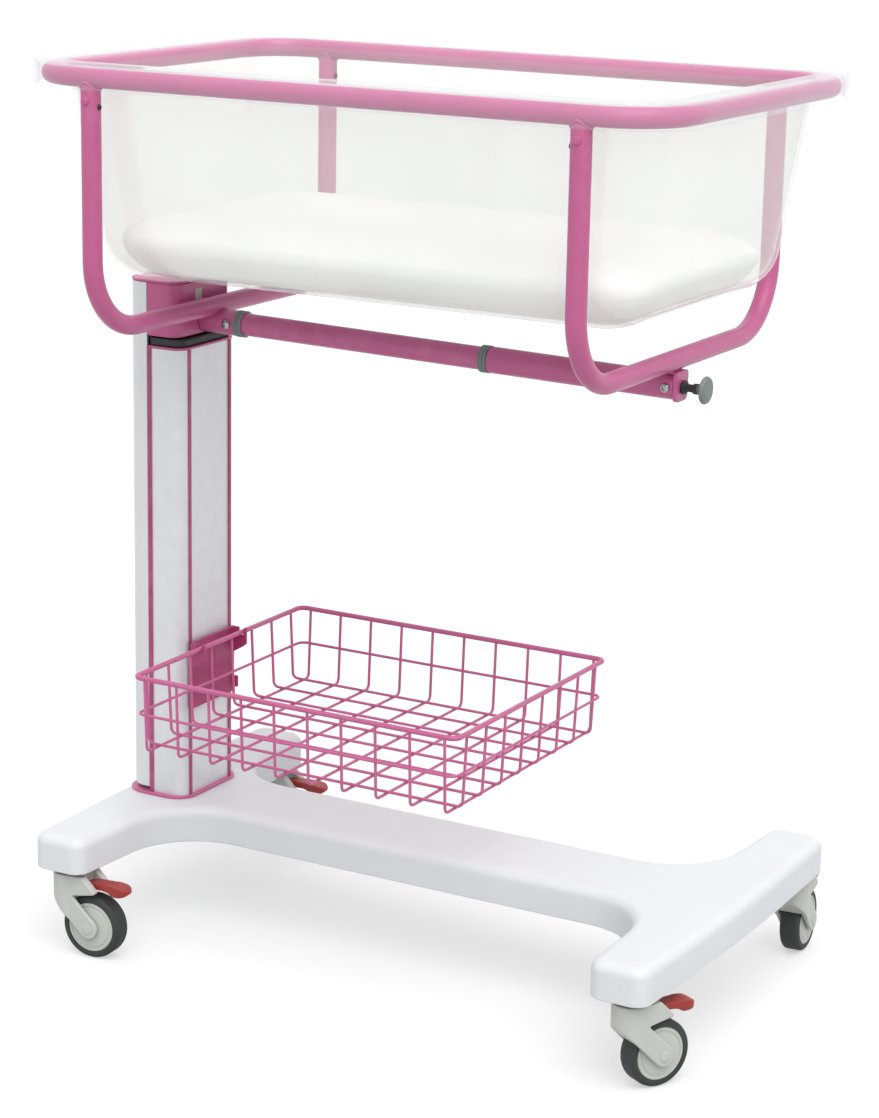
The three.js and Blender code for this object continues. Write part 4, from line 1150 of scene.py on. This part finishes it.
# Basket: welded round wires and the folded bracket on the column
def basket_shells():
    def level_wire(inset, height, wire):
        half_length = BASKET_HALF_LENGTH - inset
        half_width = BASKET_HALF_WIDTH - inset
        ring = level_ring(half_length, half_width, BASKET_CORNER, height, 10, BASKET_CENTRE)
        return swept(ring, UPWARD, wire, 16, True)

    middle = (BASKET_FLOOR + BASKET_RIM_HEIGHT) / 2
    shells = [level_wire(0, BASKET_RIM_HEIGHT, RIM_WIRE), level_wire(BASKET_TAPER / 2, middle, GRID_WIRE)]

    def bent_wire(half, low, normal, place):
        bottom = half - BASKET_TAPER
        ends = [(-half, BASKET_RIM_HEIGHT), (-bottom, low), (bottom, low), (half, BASKET_RIM_HEIGHT)]
        path = rounded([place(*end) for end in ends], [WIRE_BEND] * 4, False, 6)
        return swept(path, normal, GRID_WIRE, 12)

    for wire in range(CROSS_WIRES):
        x = BASKET_CENTRE + (wire - (CROSS_WIRES - 1) / 2) * CROSS_SPACING
        shells.append(bent_wire(BASKET_HALF_WIDTH, BASKET_FLOOR, ALONG_X, lambda y, z: Vector((x, y, z))))
    for wire in range(LONG_WIRES):
        y = (wire - (LONG_WIRES - 1) / 2) * LONG_SPACING
        low = BASKET_FLOOR + 2 * GRID_WIRE
        shells.append(
            bent_wire(BASKET_HALF_LENGTH, low, ALONG_Y, lambda x, z: Vector((BASKET_CENTRE + x, y, z)))
        )
    return shells


build("wire_basket", basket_shells(), "pink_paint", "basket", "basket")


def hanger_shells():
    face = COLUMN_FACE + 1.8
    front = face + BRACKET_SHEET
    rim_x = BASKET_CENTRE - BASKET_HALF_LENGTH
    seat = RIM_WIRE + 0.7
    rim_z = BASKET_RIM_HEIGHT
    ear = [
        (face, rim_z - 28), (rim_x + 2, rim_z - 18), (rim_x + 7, rim_z - 14), (rim_x + 7, rim_z + 6),
        (rim_x + seat, rim_z + 6),
    ]
    ear += arc((rim_x, rim_z), seat, 0, -180, 14)
    ear += [(rim_x - seat, BRACKET_TOP), (face, BRACKET_TOP)]
    plate = brick(face, front, -BRACKET_HALF, BRACKET_HALF, BRACKET_FLOOR, BRACKET_TOP)
    return [
        plate,
        standing_slab(ear, -BRACKET_HALF, -BRACKET_HALF + BRACKET_SHEET),
        standing_slab(ear, BRACKET_HALF - BRACKET_SHEET, BRACKET_HALF),
        brick(front - 1, front + 6, BRACKET_HALF - BRACKET_SHEET, BRACKET_HALF, *BRACKET_TAB),
    ]


# The hanger takes the darker copy of the pink coat: painted shade from the tub above it.
build("basket_hanger", hanger_shells(), "pink_paint", "base", "basket_bracket", edge=0.7, finish=SHADED_PINK_COPY)

# Solids that stay as they are get their finish
for node_name, node in frame["nodes"].items():
    slots = [part["material_slot"] for part in frame["record"]["subparts"] if part["node"] == node_name]
    node.data.materials.clear()
    node.data.materials.append(FINISHES[slots[0]])


# Floor, light and camera
def white_surround(tree, strength_socket, dim, bright):
    """Full white for what the camera, a reflection or a clear wall sees; dimmer as light on the object."""
    path = add_node(tree, "ShaderNodeLightPath")
    seen = larger(tree, path.outputs["Is Camera Ray"], path.outputs["Is Glossy Ray"])
    through = larger(tree, seen, path.outputs["Is Transmission Ray"])
    tree.links.new(spread(tree, through, 0.0, 1.0, dim, bright), strength_socket)


world = bpy.data.worlds.new("studio")
world.use_nodes = True
scene.world = world
background = world.node_tree.nodes["Background"]
background.inputs["Color"].default_value = WHITE
white_surround(world.node_tree, background.inputs["Strength"], dim=0.62, bright=1.0)

floor_reach = 60.0
floor_mesh = bpy.data.meshes.new("floor")
floor_corners = [(sx * floor_reach, sy * floor_reach, 0) for sx, sy in SQUARE]
floor_mesh.from_pydata(floor_corners, [], [[0, 1, 2, 3]])
floor = bpy.data.objects.new("floor", floor_mesh)
scene.collection.objects.link(floor)
floor_material, floor_tree, floor_surface = blank_material("pale_floor")
floor_surface.inputs["Base Color"].default_value = GREY
floor_surface.inputs["Roughness"].default_value = 0.9
floor_surface.inputs["Emission Color"].default_value = WHITE
white_surround(floor_tree, floor_surface.inputs["Emission Strength"], dim=0.0, bright=0.5)
floor_mesh.materials.append(floor_material)


def sun(name, strength, softness, towards):
    light = bpy.data.lights.new(name, "SUN")
    light.energy = strength
    light.angle = math.radians(softness)
    lamp = bpy.data.objects.new(name, light)
    lamp.rotation_euler = Vector(towards).to_track_quat("Z", "Y").to_euler()
    scene.collection.objects.link(lamp)


sun("key_light", strength=1.57, softness=50, towards=(0.40, -0.42, 0.82))
sun("overhead_light", strength=0.47, softness=120, towards=(0.0, 0.0, 1.0))


def photo_camera():
    yaw = math.radians(CAMERA_YAW)
    pitch = math.radians(CAMERA_PITCH)
    roll = math.radians(CAMERA_ROLL)
    sensor = 36.0
    forward = Vector((math.sin(yaw) * math.cos(pitch), math.cos(yaw) * math.cos(pitch), -math.sin(pitch)))
    right = Vector((math.cos(yaw), -math.sin(yaw), 0))
    up = right.cross(forward)
    side = right * math.cos(roll) + up * math.sin(roll)
    head = up * math.cos(roll) - right * math.sin(roll)
    camera = bpy.data.objects.new("camera", bpy.data.cameras.new("camera"))
    scene.collection.objects.link(camera)
    camera.data.sensor_width = sensor
    camera.data.lens = sensor * CAMERA_FOCUS_PIXELS / FRAME_HEIGHT_PIXELS
    turn = Matrix((side, head, -forward)).transposed().to_4x4()
    camera.matrix_world = Matrix.Translation(CAMERA_PLACE * MM) @ turn
    scene.camera = camera


photo_camera()
scene.view_settings.view_transform = "Standard"
